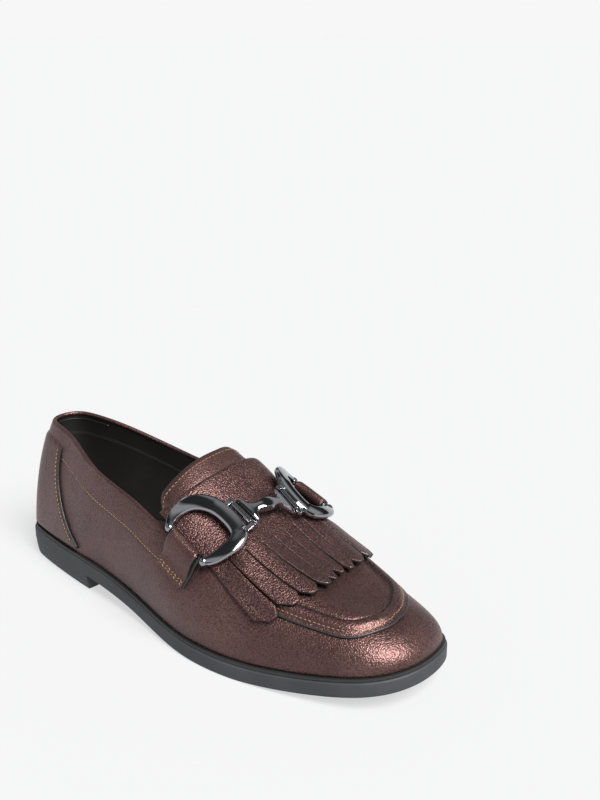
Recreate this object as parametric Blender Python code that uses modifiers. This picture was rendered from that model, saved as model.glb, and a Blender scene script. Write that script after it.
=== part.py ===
# A fringed leather loafer for the right foot, with a snaffle bit over the instep.
# Metres, +Z up. The toe points along -Y and the outer side of the foot lies along -X.
# The origin is on the floor, under the middle of the sole's box.
import collections
import math

import bmesh
import bpy
import numpy as np
from mathutils import Matrix, Vector

# Main sizes
SHOE_LENGTH = 0.256
BALL_WIDTH = 0.088
SOLE_THICKNESS = 0.0070
SOLE_ROUNDING = 0.0009
HEEL_HEIGHT = 0.0078
HEEL_LENGTH = 0.066
HEEL_TAPER = 0.0012
TOE_SPRING = 0.0110
MIDSOLE_THICKNESS = 0.0012
MIDSOLE_SETBACK = 0.0008
INSOLE_THICKNESS = 0.0025
UPPER_SETBACK = 0.0021
WALL = 0.0018
BACK_HEIGHT = 0.0750
INSTEP_HEIGHT = 0.1000
SWELL = 0.0040
GAP = 0.0003
INSOLE_FIT = 0.0007

# Places along the shoe, as shares of its length from the heel
WAIST_START = 0.24
WAIST_END = 0.62
BALL_END = 0.70
SPRING_POWER = 1.65
HEEL_POLE = 0.13
TOE_POLE = 0.87
COLLAR_FRONT = 0.575
THROAT = 0.640

# Leather pieces on the upper
COUNTER_THICKNESS = 0.0010
COUNTER_DROP = 0.0022
APRON_THICKNESS = 0.0011
APRON_RIB = 0.0016
APRON_BACK = 0.720
TONGUE_THICKNESS = 0.0013
TONGUE_WIDTH = 0.0850
TONGUE_BACK = 0.492
TONGUE_FRONT = 0.630
TONGUE_CROWN = 0.0027
TONGUE_SINK = 0.0009
TONGUE_BOW = 0.022
TONGUE_CORNER = 0.034
TONGUE_STANDS = (0.515, 0.560)
TONGUE_FREE = (0.031, 0.040)
KILTIE_THICKNESS = 0.0011
KILTIE_BACK = 0.536
KILTIE_FRONT = 0.786
KILTIE_WIDTH = 0.0770
FRINGE_WIDTH = 0.0900
KILTIE_ROLL = 0.0017
KILTIE_HEM = 0.0100
KILTIE_BACK_BOW = 0.032
KILTIE_FRONT_BOW = 0.100
KILTIE_FLARE = (0.50, 0.84)
KILTIE_SETTLED = 0.30
KILTIE_CLIMBS = (0.580, 0.635)
KILTIE_CLIMB_BOW = 0.035
KILTIE_OVER_RIM = (0.80, 0.94)
KILTIE_ON_TONGUE = 0.25
RIM_CLEARANCE = 1.15
SLIT_START = 0.52
STRIP_COUNT = 10
STRIP_GAP = 0.0004
STRIP_SPREAD = 0.0006
STRIP_POINT = 0.0030
STRIP_BLUNT = 0.45
TAB_THICKNESS = 0.0010
TAB_LENGTH = 0.0170
TAB_WIDTH = 0.0146
TAB_SLACK = 0.0005
TAB_SLANT = 0.018
TAB_UNDER_REACH = 0.60
TAB_OVER_REACH = 0.72

# The snaffle bit
PIN_RADIUS = 0.0011
PIN_LENGTH = 0.0168
RING_ARCH = 0.0025
RING_LENGTH = 0.0298
RING_BAND = 0.0078
RING_TIP = 0.46
RING_TURN = 130
RING_SQUARE = 0.8
RING_THICKNESS = 0.0030
RING_TWISTED = 0.75
HINGE_RADIUS = 0.0013
HINGE_LENGTH = 0.0120
LUG_LENGTH = 0.0026
LUG_REACH = 0.0032
BAR_ARCH = 0.0020
BAR_CLEARANCE = 0.0009

Hold = collections.namedtuple(
    "Hold", "side pin_along pin_across pin_lift hinge_along hinge_across hinge_lift"
)
# How each ring is held, by the pin in its tab and by its hinge on the bar: shares along
# the shoe, metres from the shoe's middle over the skin, and lifts off the skin
HOLDS = {
    "outer": Hold(-1, 0.560, 0.0405, 0.0054, 0.6035, 0.0152, 0.0095),
    "inner": Hold(1, 0.590, 0.0360, 0.0080, 0.6280, 0.0105, 0.0110),
}

Station = collections.namedtuple("Station", "along outer inner")
# The sole's edge: half widths as shares of the ball width
SOLE_EDGE = [
    Station(0.00, 0.000, 0.000),
    Station(0.03, 0.208, 0.208),
    Station(0.08, 0.263, 0.263),
    Station(0.16, 0.308, 0.308),
    Station(0.28, 0.356, 0.335),
    Station(0.42, 0.405, 0.335),
    Station(0.55, 0.480, 0.400),
    Station(0.66, 0.500, 0.485),
    Station(0.76, 0.457, 0.500),
    Station(0.86, 0.385, 0.445),
    Station(0.94, 0.298, 0.350),
    Station(0.98, 0.194, 0.245),
    Station(1.00, 0.000, 0.000),
]
Section = collections.namedtuple(
    "Section", "along ridge drift outer_square inner_square outer_swell inner_swell"
)
# The last: its ridge as a share of the instep height, how far the ridge drifts inwards
# as a share of the ball width, how square each side of a section is (2 is round), and
# how far each side swells as a share of the swell
LAST = [
    Section(0.00, 0.900, 0.00, 1.85, 1.85, -0.10, -0.10),
    Section(0.13, 0.960, 0.00, 1.85, 1.85, -0.10, -0.10),
    Section(0.28, 0.970, 0.02, 2.30, 2.30, 0.50, 0.60),
    Section(0.42, 0.900, 0.06, 2.50, 2.65, 0.85, 1.20),
    Section(0.50, 0.800, 0.07, 2.50, 2.70, 0.85, 1.30),
    Section(0.60, 0.620, 0.06, 2.30, 2.50, 0.60, 1.00),
    Section(0.70, 0.470, 0.03, 2.20, 2.25, 0.40, 0.50),
    Section(0.80, 0.385, 0.01, 2.15, 2.15, 0.30, 0.20),
    Section(0.87, 0.345, 0.00, 2.15, 2.15, 0.20, 0.00),
    Section(1.00, 0.300, 0.00, 2.15, 2.15, 0.20, 0.00),
]
Topline = collections.namedtuple("Topline", "along outer inner")
# Height of the topline as a share of the height at the back
TOPLINE = [
    Topline(0.00, 1.000, 1.000),
    Topline(0.06, 0.995, 0.995),
    Topline(0.15, 0.955, 0.955),
    Topline(0.28, 0.865, 0.850),
    Topline(0.42, 0.793, 0.780),
    Topline(0.54, 0.705, 0.735),
    Topline(0.65, 0.670, 0.700),
]
Seam = collections.namedtuple("Seam", "height along")
# The counter's front edge: its place along the shoe from the sole (0) to the collar (1)
COUNTER_EDGE = [
    Seam(0.00, 0.225),
    Seam(0.15, 0.192),
    Seam(0.35, 0.158),
    Seam(0.60, 0.126),
    Seam(0.85, 0.110),
    Seam(1.00, 0.104),
]
Edge = collections.namedtuple("Edge", "along outer inner")
# The apron's edge: how far up each side it lies, from the sole (0) to the ridge (1)
APRON_EDGE = [
    Edge(0.72, 0.42, 0.46),
    Edge(0.80, 0.42, 0.48),
    Edge(0.88, 0.42, 0.50),
    Edge(0.92, 0.43, 0.53),
    Edge(0.96, 0.52, 0.61),
    Edge(1.00, 0.67, 0.67),
]
Relief = collections.namedtuple("Relief", "inwards rib")
# The apron's raised rim: metres in from its cut edge, and height as a share of the rib
APRON_RELIEF = [
    Relief(0.0000, 0.00),
    Relief(0.0018, 0.25),
    Relief(0.0034, 0.90),
    Relief(0.0054, 1.00),
    Relief(0.0070, 0.45),
    Relief(0.0080, 0.00),
]
Bar = collections.namedtuple("Bar", "across length height")
# The middle bar from one end to its middle: shares of its half span, of the hinge's
# length and of the ring's thickness
BAR = [
    Bar(1.00, 1.16, 0.80),
    Bar(0.94, 1.26, 1.00),
    Bar(0.84, 1.10, 1.10),
    Bar(0.72, 0.66, 1.10),
    Bar(0.58, 0.40, 1.15),
    Bar(0.40, 0.36, 1.25),
    Bar(0.20, 0.46, 1.35),
    Bar(0.00, 0.52, 1.40),
]


def spline(xs, ys, x):
    # Natural cubic through the table's points
    xs = np.asarray(xs, float)
    ys = np.asarray(ys, float)
    count = len(xs)
    step = np.diff(xs)
    system = np.eye(count)
    slope = np.zeros(count)
    for i in range(1, count - 1):
        system[i, i - 1 : i + 2] = step[i - 1], 2 * (step[i - 1] + step[i]), step[i]
        slope[i] = 6 * ((ys[i + 1] - ys[i]) / step[i] - (ys[i] - ys[i - 1]) / step[i - 1])
    bend = np.linalg.solve(system, slope)
    x = np.clip(x, xs[0], xs[-1])
    i = np.clip(np.searchsorted(xs, x) - 1, 0, count - 2)
    before = x - xs[i]
    after = xs[i + 1] - x
    width = step[i]
    cubic = (bend[i] * after**3 + bend[i + 1] * before**3) / (6 * width)
    line = (ys[i] / width - bend[i] * width / 6) * after
    return cubic + line + (ys[i + 1] / width - bend[i + 1] * width / 6) * before


def column(table, name):
    return np.array([getattr(row, name) for row in table])


def share_at(angle):
    # Share of the length at an angle round the shoe: 0 at the heel, pi at the toe
    return (1 - np.cos(angle)) / 2


def angle_at(share):
    return np.arccos(1 - 2 * np.clip(share, 0, 1))


def smooth_step(t):
    t = np.clip(t, 0, 1)
    return t * t * (3 - 2 * t)


def between(ends, value):
    # 0 up to the first end, 1 from the second, and smooth between them
    return smooth_step((value - ends[0]) / (ends[1] - ends[0]))


def along_y(share):
    return SHOE_LENGTH * (0.5 - share)


def share_of(y):
    return 0.5 - y / SHOE_LENGTH


def by_side(table, angle):
    # A table's value for either side of the shoe, smooth all the way round
    turned = angle_at(column(table, "along"))
    folded = np.arccos(np.clip(np.cos(angle), -1, 1))
    outer = spline(turned, column(table, "outer"), folded)
    inner = spline(turned, column(table, "inner"), folded)
    return np.where(np.sin(angle) >= 0, outer, inner)


def raw_edge(angle):
    # From the heel (0) along the outer side to the toe (pi) and back along the inner side
    side = np.where(np.sin(angle) >= 0, -1, 1)
    half_width = BALL_WIDTH * by_side(SOLE_EDGE, angle)
    return np.stack([side * half_width, along_y(share_at(angle))], -1)


WHOLE_TURN = np.linspace(0, 2 * math.pi, 721)
CENTRE_X = (raw_edge(WHOLE_TURN)[:, 0].max() + raw_edge(WHOLE_TURN)[:, 0].min()) / 2


def inward(angle):
    step = 1e-3
    tangent = raw_edge(angle + step) - raw_edge(angle - step)
    tangent /= np.linalg.norm(tangent, axis=-1, keepdims=True)
    return np.stack([-tangent[..., 1], tangent[..., 0]], -1)


def edge_point(angle, setback):
    return raw_edge(angle) - [CENTRE_X, 0] + inward(angle) * setback


def sole_under(share):
    heel = smooth_step((WAIST_END - share) / (WAIST_END - WAIST_START))
    toe = np.clip((share - BALL_END) / (1 - BALL_END), 0, 1) ** SPRING_POWER
    return HEEL_HEIGHT * heel + TOE_SPRING * toe


def sole_top(share):
    return sole_under(share) + SOLE_THICKNESS


def midsole_top(share):
    return sole_top(share) + GAP + MIDSOLE_THICKNESS


def upper_foot(share):
    return midsole_top(share) + GAP


def last_value(share, name):
    return spline(column(LAST, "along"), column(LAST, name), share)


Shape = collections.namedtuple("Shape", "foot foot_z ridge ridge_z power swell")


def shape_at(angle):
    # One section of the last: its foot, its ridge and how its side curves between them
    share = share_at(angle)
    ridge_share = HEEL_POLE + (TOE_POLE - HEEL_POLE) * share
    foot = edge_point(angle, UPPER_SETBACK)
    foot_z = upper_foot(share_of(foot[..., 1]))
    drift = BALL_WIDTH * last_value(ridge_share, "drift")
    ridge = np.stack([drift, along_y(ridge_share)], -1)
    ridge_z = INSTEP_HEIGHT * last_value(ridge_share, "ridge")
    mix = smooth_step(0.5 + np.sin(angle))
    square = last_value(share, "outer_square") * mix + last_value(share, "inner_square") * (1 - mix)
    swell = last_value(share, "outer_swell") * mix + last_value(share, "inner_swell") * (1 - mix)
    return Shape(foot, foot_z, ridge, ridge_z, 2 / square, SWELL * swell)


def bare_skin(angle, climb):
    # The last's surface: climb runs from the sole's edge (0) to the ridge (1), and past
    # 1 it goes down the other side
    over = climb > 1
    angle = np.where(over, 2 * math.pi - angle, angle)
    climb = np.where(over, 2 - climb, climb)
    shape = shape_at(angle)
    turn = np.clip(climb, 0, 1) * math.pi / 2
    lean = 1 - np.cos(turn).clip(0) ** shape.power
    rise = np.sin(turn).clip(0) ** shape.power
    swell = shape.swell * np.sin(math.pi * rise**0.8)
    plan = shape.foot + (shape.ridge - shape.foot) * lean[..., None]
    plan -= inward(angle) * swell[..., None]
    z = shape.foot_z + (shape.ridge_z - shape.foot_z) * rise
    return np.concatenate([plan, z[..., None]], -1)


def skin_normal(angle, climb):
    step = 2e-3
    # At the two ends of the ridge the sides run together, so the normal is read just beside
    pole = (np.abs(np.sin(angle)) < 0.02) & (climb > 0.98)
    angle = np.where(pole, np.where(np.cos(angle) < 0, math.pi - 0.03, 0.03), angle)
    climb = np.where(pole, 1.0, climb)
    low = np.maximum(climb - step, 0)
    along = bare_skin(angle + step, climb) - bare_skin(angle - step, climb)
    up = bare_skin(angle, climb + step) - bare_skin(angle, low)
    normal = np.cross(along, up)
    return normal / np.linalg.norm(normal, axis=-1, keepdims=True)


def skin(angle, climb, lift=0.0):
    # A point of the last's surface, lifted off it along its normal
    angle, climb, lift = np.broadcast_arrays(
        np.asarray(angle, float), np.asarray(climb, float), np.asarray(lift, float)
    )
    return bare_skin(angle, climb) + skin_normal(angle, climb) * lift[..., None]


def topline_climb(angle):
    # How far up each side the collar's edge lies, found from its height
    shape = shape_at(angle)
    height = BACK_HEIGHT * by_side(TOPLINE, angle)
    rise = np.clip((height - shape.foot_z) / (shape.ridge_z - shape.foot_z), 0.02, 1)
    return np.arcsin(rise ** (1 / shape.power)) / (math.pi / 2)


def collar_climb(angle):
    # The opening's edge: the topline, closing over the ridge at the throat
    share = share_at(angle)
    closing = smooth_step((share - COLLAR_FRONT) / (THROAT - COLLAR_FRONT))
    low = topline_climb(angle)
    return np.where(closing >= 1, 1.0, low + (1 - low) * closing)


def skin_climb(angle, across):
    # How far up the side a point lies that is so far from the ridge, over the skin
    steps = np.linspace(1, 0, 61)
    path = bare_skin(np.full(steps.shape, angle), steps)
    run = np.linalg.norm(np.diff(path, axis=0), axis=1).cumsum()
    return np.interp(across, np.concatenate([[0], run]), steps)


def saddle(along, across, lift=0.0):
    # A point over the instep: its place along the ridge as a share of the length, its
    # distance over the skin from the shoe's middle (below zero on the outer side), and
    # its lift
    across = across - BALL_WIDTH * float(last_value(along, "drift"))
    angle = angle_at((along - HEEL_POLE) / (TOE_POLE - HEEL_POLE))
    angle = float(angle if across < 0 else 2 * math.pi - angle)
    return skin(angle, skin_climb(angle, abs(across)), lift)


def saddle_grid(along, across, lift):
    along, across, lift = np.broadcast_arrays(along, across, lift)
    points = [saddle(*values) for values in zip(along.flat, across.flat, lift.flat)]
    return np.array(points).reshape(*along.shape, 3)


def make_material(name, colour, roughness, metallic=0.0):
    made = bpy.data.materials.new(name)
    made.use_nodes = True
    shader = made.node_tree.nodes["Principled BSDF"]
    shader.inputs["Base Color"].default_value = (*colour, 1)
    shader.inputs["Roughness"].default_value = roughness
    shader.inputs["Metallic"].default_value = metallic
    return made


def add_object(name, bm, finish, group):
    mesh = bpy.data.meshes.new(name)
    bm.to_mesh(mesh)
    bm.free()
    mesh.materials.append(finish)
    mesh.shade_smooth()
    mesh.set_sharp_from_angle(angle=math.radians(40))
    made = bpy.data.objects.new(name, mesh)
    group.objects.link(made)
    return made


def add_sheet(name, grid, thickness, finish, group, loop=False, left_out=()):
    # Leather cut from a grid of points on its outer face and given its thickness
    # inwards. Points that meet are one, and cells listed in left_out stay open.
    bm = bmesh.new()
    columns, rows = grid.shape[:2]
    found = {}
    verts = np.empty((columns, rows), object)
    for i in range(columns):
        for j in range(rows):
            key = tuple(np.round(grid[i, j], 6))
            if key not in found:
                found[key] = bm.verts.new(grid[i, j])
            verts[i, j] = found[key]
    for i in range(columns if loop else columns - 1):
        for j in range(rows - 1):
            k = (i + 1) % columns
            corners = [verts[i, j], verts[k, j], verts[k, j + 1], verts[i, j + 1]]
            corners = [v for n, v in enumerate(corners) if v is not corners[n - 1]]
            if len(set(corners)) > 2 and (i, j) not in left_out and not bm.faces.get(corners):
                bm.faces.new(corners)
    loose = [v for v in bm.verts if not v.link_faces]
    bmesh.ops.delete(bm, geom=loose, context="VERTS")
    made = add_object(name, bm, finish, group)
    thicken = made.modifiers.new("thickness", "SOLIDIFY")
    thicken.thickness = thickness
    thicken.offset = -1
    return made


def add_loft(name, rings, finish, group):
    # A solid through closed rings of points, from one end face to the other
    bm = bmesh.new()
    sections = [[bm.verts.new(p) for p in ring] for ring in rings]
    count = len(sections[0])
    for low, high in zip(sections, sections[1:]):
        for i in range(count):
            k = (i + 1) % count
            bm.faces.new([low[i], low[k], high[k], high[i]])
    bm.faces.new(sections[0])
    bm.faces.new(sections[-1])
    bmesh.ops.recalc_face_normals(bm, faces=bm.faces)
    return add_object(name, bm, finish, group)


def add_plate(name, levels, finish, group, back=0.0, front=1.0, count=42):
    # A solid between the shoe's two sides, from one share of the length to another:
    # levels lists its rings from the underside up, each a setback and a height function
    closed_back = back <= 0
    closed_front = front >= 1
    angles = np.linspace(angle_at(back), angle_at(front), count)
    other = 2 * math.pi - angles[::-1]
    other = other[1 if closed_front else 0 : -1 if closed_back else None]
    turn = np.concatenate([angles, other])
    rings = []
    for setback, height in levels:
        plan = edge_point(turn, setback)
        z = height(share_of(plan[:, 1])) + 0 * turn
        rings.append(np.column_stack([plan, z]))
    bm = bmesh.new()
    sections = [[bm.verts.new(p) for p in ring] for ring in rings]
    for low, high in zip(sections, sections[1:]):
        for i in range(len(turn)):
            k = (i + 1) % len(turn)
            bm.faces.new([low[i], low[k], high[k], high[i]])
    for ring in (sections[0], sections[-1]):
        outer = ring[:count]
        inner = ring[count:][::-1]
        inner = outer[:1] * closed_back + inner + outer[-1:] * closed_front
        for a, b, c, d in zip(outer, outer[1:], inner[1:], inner):
            corners = [v for v in dict.fromkeys([a, b, c, d])]
            bm.faces.new(corners)
    bmesh.ops.recalc_face_normals(bm, faces=bm.faces)
    return add_object(name, bm, finish, group)


def build_sole(finish, group):
    round_off = SOLE_ROUNDING
    add_plate(
        "outsole",
        [
            (round_off, sole_under),
            (0, lambda share: sole_under(share) + round_off),
            (0, lambda share: sole_top(share) - round_off),
            (round_off, sole_top),
        ],
        finish,
        group,
    )
    heel_share = HEEL_LENGTH / SHOE_LENGTH
    add_plate(
        "heel",
        [
            (HEEL_TAPER, lambda share: 0 * share),
            (HEEL_TAPER / 2, lambda share: sole_under(share) / 2),
            (0, lambda share: sole_under(share) - GAP),
        ],
        finish,
        group,
        front=heel_share,
        count=18,
    )


def build_midsole(finish, group):
    add_plate(
        "midsole",
        [
            (MIDSOLE_SETBACK, lambda share: sole_top(share) + GAP),
            (MIDSOLE_SETBACK, midsole_top),
        ],
        finish,
        group,
    )


def build_insole(finish, group):
    setback = UPPER_SETBACK + WALL + INSOLE_FIT
    add_plate(
        "insole",
        [
            (setback, upper_foot),
            (setback, lambda share: upper_foot(share) + INSOLE_THICKNESS * 0.7),
            (setback + INSOLE_THICKNESS * 0.3, lambda share: upper_foot(share) + INSOLE_THICKNESS),
        ],
        finish,
        group,
        count=36,
    )


def build_upper(finish, group):
    # Columns run round the shoe from the heel, closer together where the throat turns
    around = angle_at(COLLAR_FRONT)
    throat = angle_at(THROAT)
    side = np.concatenate(
        [
            np.linspace(0, around, 17, endpoint=False),
            np.linspace(around, throat, 6, endpoint=False),
            np.linspace(throat, math.pi, 16, endpoint=False),
        ]
    )
    turn = np.concatenate([side, [math.pi], 2 * math.pi - side[:0:-1]])
    rows = np.linspace(0, 1, 10)
    angle, row = np.meshgrid(turn, rows, indexing="ij")
    add_sheet("upper", skin(angle, collar_climb(angle) * row), WALL, finish, group, loop=True)


def build_counter(finish, group):
    rows = np.linspace(0, 1, 8)
    columns = np.linspace(-1, 1, 19)
    reach = angle_at(np.interp(rows, column(COUNTER_EDGE, "height"), column(COUNTER_EDGE, "along")))
    angle = columns[:, None] * reach[None, :]
    head = topline_climb(angle)
    foot = 0.02
    drop = COUNTER_DROP / BACK_HEIGHT
    climb = foot + (head - drop - foot) * rows[None, :]
    add_sheet("counter", skin(angle, climb, GAP + COUNTER_THICKNESS), COUNTER_THICKNESS, finish, group)


def build_apron(finish, group):
    start = angle_at(APRON_BACK)
    turn = np.linspace(start, 2 * math.pi - start, 43)
    depth = column(APRON_RELIEF, "inwards")
    rib = column(APRON_RELIEF, "rib")
    grid = []
    for angle in turn:
        edge = by_side(APRON_EDGE, angle)
        steps = np.linspace(edge, 1, 61)
        path = bare_skin(np.full(steps.shape, angle), steps)
        run = np.concatenate([[0], np.linalg.norm(np.diff(path, axis=0), axis=1).cumsum()])
        rest = np.linspace(depth[-1], run[-1], 5)[1:]
        climb = np.interp(np.concatenate([depth, rest]), run, steps)
        lift = np.concatenate([rib, 0 * rest]) * APRON_RIB
        grid.append(skin(np.full(climb.shape, angle), climb, GAP + APRON_THICKNESS + lift))
    add_sheet("apron", np.array(grid), APRON_THICKNESS, finish, group)


def tongue_lift(along, across):
    # Behind the throat and between the quarters the tongue stands up through the opening
    open_back = 1 - between(TONGUE_STANDS, along)
    open_side = 1 - between(TONGUE_FREE, abs(across))
    return -WALL - TONGUE_SINK + TONGUE_CROWN * open_back * open_side


def build_tongue(finish, group):
    half = TONGUE_WIDTH / 2
    side = np.array([0, 0.18, 0.36, 0.54, 0.70, 0.82, 0.91, 0.97, 1.0])
    across = np.concatenate([side[::-1], -side[1:]])
    back = TONGUE_BACK - TONGUE_BOW * across**2 + TONGUE_CORNER * across**12
    rows = np.linspace(0, 1, 9)
    along = back[:, None] + (TONGUE_FRONT - back)[:, None] * rows
    across = across[:, None] * half + 0 * along
    grid = saddle_grid(along, across, tongue_lift(along, across))
    add_sheet("tongue", grid, TONGUE_THICKNESS, finish, group)


def kiltie_place(across, run):
    # Where a point of the fringe lies: across is -1 to 1 over its width, and run goes
    # from the fold (0) to the strips' ends (1)
    back = KILTIE_BACK - KILTIE_BACK_BOW * across**2
    front = KILTIE_FRONT - KILTIE_FRONT_BOW * np.abs(across) ** 1.5
    flare = between(KILTIE_FLARE, run) * across**2
    half = (KILTIE_WIDTH + (FRINGE_WIDTH - KILTIE_WIDTH) * flare) / 2
    return back + (front - back) * run, across * half


def kiltie_lift(across, run):
    # The flap lies on the tongue, then on the vamp, and its strips climb over the apron
    over_tongue = TONGUE_CROWN - WALL - TONGUE_SINK + GAP
    over_vamp = 3 * GAP
    over_edge = 4 * GAP + APRON_THICKNESS
    over_rim = APRON_RIB * RIM_CLEARANCE
    over_apron = over_edge + over_rim * (1 - between(KILTIE_OVER_RIM, np.abs(across)))
    near = smooth_step(run / KILTIE_ON_TONGUE)
    along, _ = kiltie_place(across, run)
    far = between(KILTIE_CLIMBS, along - KILTIE_CLIMB_BOW * across**2)
    lift = over_tongue + (over_vamp - over_tongue) * near
    return lift + (over_apron - over_vamp) * far


def build_kiltie(finish, group):
    # Each strip has three columns, and a narrow slit lies between its neighbours'
    pitch = 2 / STRIP_COUNT
    rolled = np.radians([180, 225, 270, 315, 360])
    hem = np.linspace(KILTIE_HEM, 0, 2, endpoint=False)
    flap = np.linspace(0.02, SLIT_START, 6)
    fringe = np.linspace(SLIT_START, 1, 5)[1:]
    grid = []
    for strip in range(STRIP_COUNT):
        middle = 1 - pitch * (strip + 0.5)
        fold_lift = kiltie_lift(middle, 0.0)
        for side in (1, 0, -1):
            fold_along, fold_across = kiltie_place(middle + side * (pitch / 2 - GAP / KILTIE_WIDTH), 0.0)
            line = [(fold_along + back / SHOE_LENGTH, fold_across, fold_lift) for back in hem]
            for turn in rolled:
                along = fold_along - KILTIE_ROLL * abs(math.sin(turn)) / SHOE_LENGTH
                line.append((along, fold_across, fold_lift + KILTIE_ROLL * (1 + math.cos(turn))))
            for run in (*flap, *fringe):
                half = pitch / 2 - (STRIP_GAP + STRIP_SPREAD * max(run - SLIT_START, 0)) / KILTIE_WIDTH
                along, across = kiltie_place(middle + side * half, run)
                settle = 1 - smooth_step(run / KILTIE_SETTLED)
                extra = (2 * KILTIE_ROLL - KILTIE_THICKNESS) * settle
                lift = kiltie_lift(middle + side * half, run) + KILTIE_THICKNESS + extra
                line.append((along, across, lift))
            tip_along, tip_across = kiltie_place(middle + side * half * STRIP_BLUNT, 1.0)
            line.append((tip_along + STRIP_POINT / SHOE_LENGTH, tip_across, lift))
            grid.append(line)
    values = np.array(grid)
    points = saddle_grid(values[..., 0], values[..., 1], values[..., 2])
    first_open = len(hem) + len(rolled) + len(flap) - 1
    slits = {(3 * k + 2, j) for k in range(STRIP_COUNT - 1) for j in range(first_open, values.shape[1] - 1)}
    add_sheet("kiltie", points, KILTIE_THICKNESS, finish, group, left_out=slits)


def tab_profile(hold):
    # Across and lift of the tab's outer face, from the hidden end round the pin
    turn = PIN_RADIUS + TAB_SLACK + TAB_THICKNESS
    under = hold.pin_lift - turn
    over = hold.pin_lift + turn
    top = GAP + 2 * TAB_THICKNESS + TAB_SLACK
    profile = []
    for step in np.linspace(1, 0, 6):
        lift = GAP + (under - GAP) * (1 - smooth_step(step / TAB_UNDER_REACH))
        profile.append((hold.pin_across + TAB_LENGTH * step, lift))
    for angle in np.linspace(-math.pi / 2, math.pi / 2, 7)[1:]:
        profile.append((hold.pin_across - turn * math.cos(angle), hold.pin_lift + turn * math.sin(angle)))
    for step in np.linspace(0, 1, 7)[1:]:
        lift = top + (over - top) * (1 - smooth_step(step / TAB_OVER_REACH))
        profile.append((hold.pin_across + TAB_LENGTH * step, lift))
    return np.array(profile)


def build_tab(side_name, finish, group):
    hold = HOLDS[side_name]
    profile = tab_profile(hold)
    # Down the side the skin's columns spread, so the tab's width is turned into shares
    spread = (TOE_POLE - HEEL_POLE) ** 0.5
    grid = []
    for step in np.linspace(1, -1, 4) * hold.side:
        along = hold.pin_along - step * TAB_WIDTH / 2 * spread / SHOE_LENGTH
        slant = TAB_SLANT * np.clip((profile[:, 0] - hold.pin_across) / TAB_LENGTH, 0, 1)
        grid.append(saddle_grid(along - slant, hold.side * profile[:, 0], profile[:, 1]))
    add_sheet("tab_" + side_name, np.array(grid), TAB_THICKNESS, finish, group)


RingPlane = collections.namedtuple("RingPlane", "pin rise out ahead turn width slant")


def unit(vector):
    return vector / np.linalg.norm(vector)


def ring_plane(hold):
    # The bowed plane of one ring: the middle of its pin, the directions to its hinge and
    # outwards, the pin's direction to the toe and how it turns up to the hinge's, and how
    # far up and ahead of the pin the hinge lies
    reach = PIN_LENGTH / 2 / SHOE_LENGTH
    ends = []
    for along, across, lift in (
        (hold.pin_along, hold.side * hold.pin_across, hold.pin_lift),
        (hold.hinge_along, hold.side * hold.hinge_across, hold.hinge_lift),
    ):
        middle = saddle(along, across, lift)
        toe_end = saddle(along + reach, across, lift)
        heel_end = saddle(along - reach, across, lift)
        ends.append((middle, unit(toe_end - heel_end)))
    (pin, pin_ahead), (hinge, hinge_ahead) = ends
    rise = hinge - pin
    ahead = unit(pin_ahead + hinge_ahead)
    slant = rise @ ahead
    rise -= ahead * slant
    out = unit(np.cross(rise, ahead)) * hold.side
    return RingPlane(pin, unit(rise), out, pin_ahead, hinge_ahead - pin_ahead, np.linalg.norm(rise), slant)


def ring_ahead(plane, share):
    return unit(plane.ahead + plane.turn * min(share / RING_TWISTED, 1))


def on_ring(plane, rise, ahead):
    # A point of the ring's bowed and slanted plane
    share = min(max(rise / plane.width, 0), 1)
    bow = RING_ARCH * math.sin(math.pi * share)
    slanted = unit(plane.ahead + plane.turn / 2) * plane.slant * share**2
    return plane.pin + plane.rise * rise + slanted + ring_ahead(plane, share) * ahead + plane.out * bow


def ring_frame(plane, rise, ahead):
    # A point of the ring with its directions: up to the hinge, to the toe and outwards
    step = plane.width / 50
    low = max(rise - step, 0)
    toe = ring_ahead(plane, min(max(rise / plane.width, 0), 1))
    up = on_ring(plane, low + step, ahead) - on_ring(plane, low, ahead)
    up = unit(up - toe * (up @ toe))
    out = np.cross(up, toe)
    out *= math.copysign(1, out @ plane.out)
    return on_ring(plane, rise, ahead), up, toe, out


def bevelled_ring(centre, wide, tall, half_width, half_height):
    # Eight points of a flat bar with bevelled shoulders
    outline = [
        (-0.6, -1.0),
        (0.6, -1.0),
        (1.0, -0.5),
        (1.0, 0.1),
        (0.4, 1.0),
        (-0.4, 1.0),
        (-1.0, 0.1),
        (-1.0, -0.5),
    ]
    return [centre + wide * half_width * a + tall * half_height * b for a, b in outline]


def signed_power(value, power):
    return math.copysign(abs(value) ** power, value)


def ring_path(width):
    # The horseshoe's middle line in its plane: rise and ahead, from one tip to the other
    last = math.radians(RING_TURN)
    top = width - HINGE_RADIUS - GAP - RING_BAND / 2
    tip = -signed_power(math.cos(last), RING_SQUARE)
    size = (top - PIN_RADIUS) / (1 + tip)
    path = []
    for angle in np.linspace(-last, last, 25):
        rise = top - size + size * signed_power(math.cos(angle), RING_SQUARE)
        path.append((rise, signed_power(math.sin(angle), RING_SQUARE) * RING_LENGTH / 2))
    return np.array(path)


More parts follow.
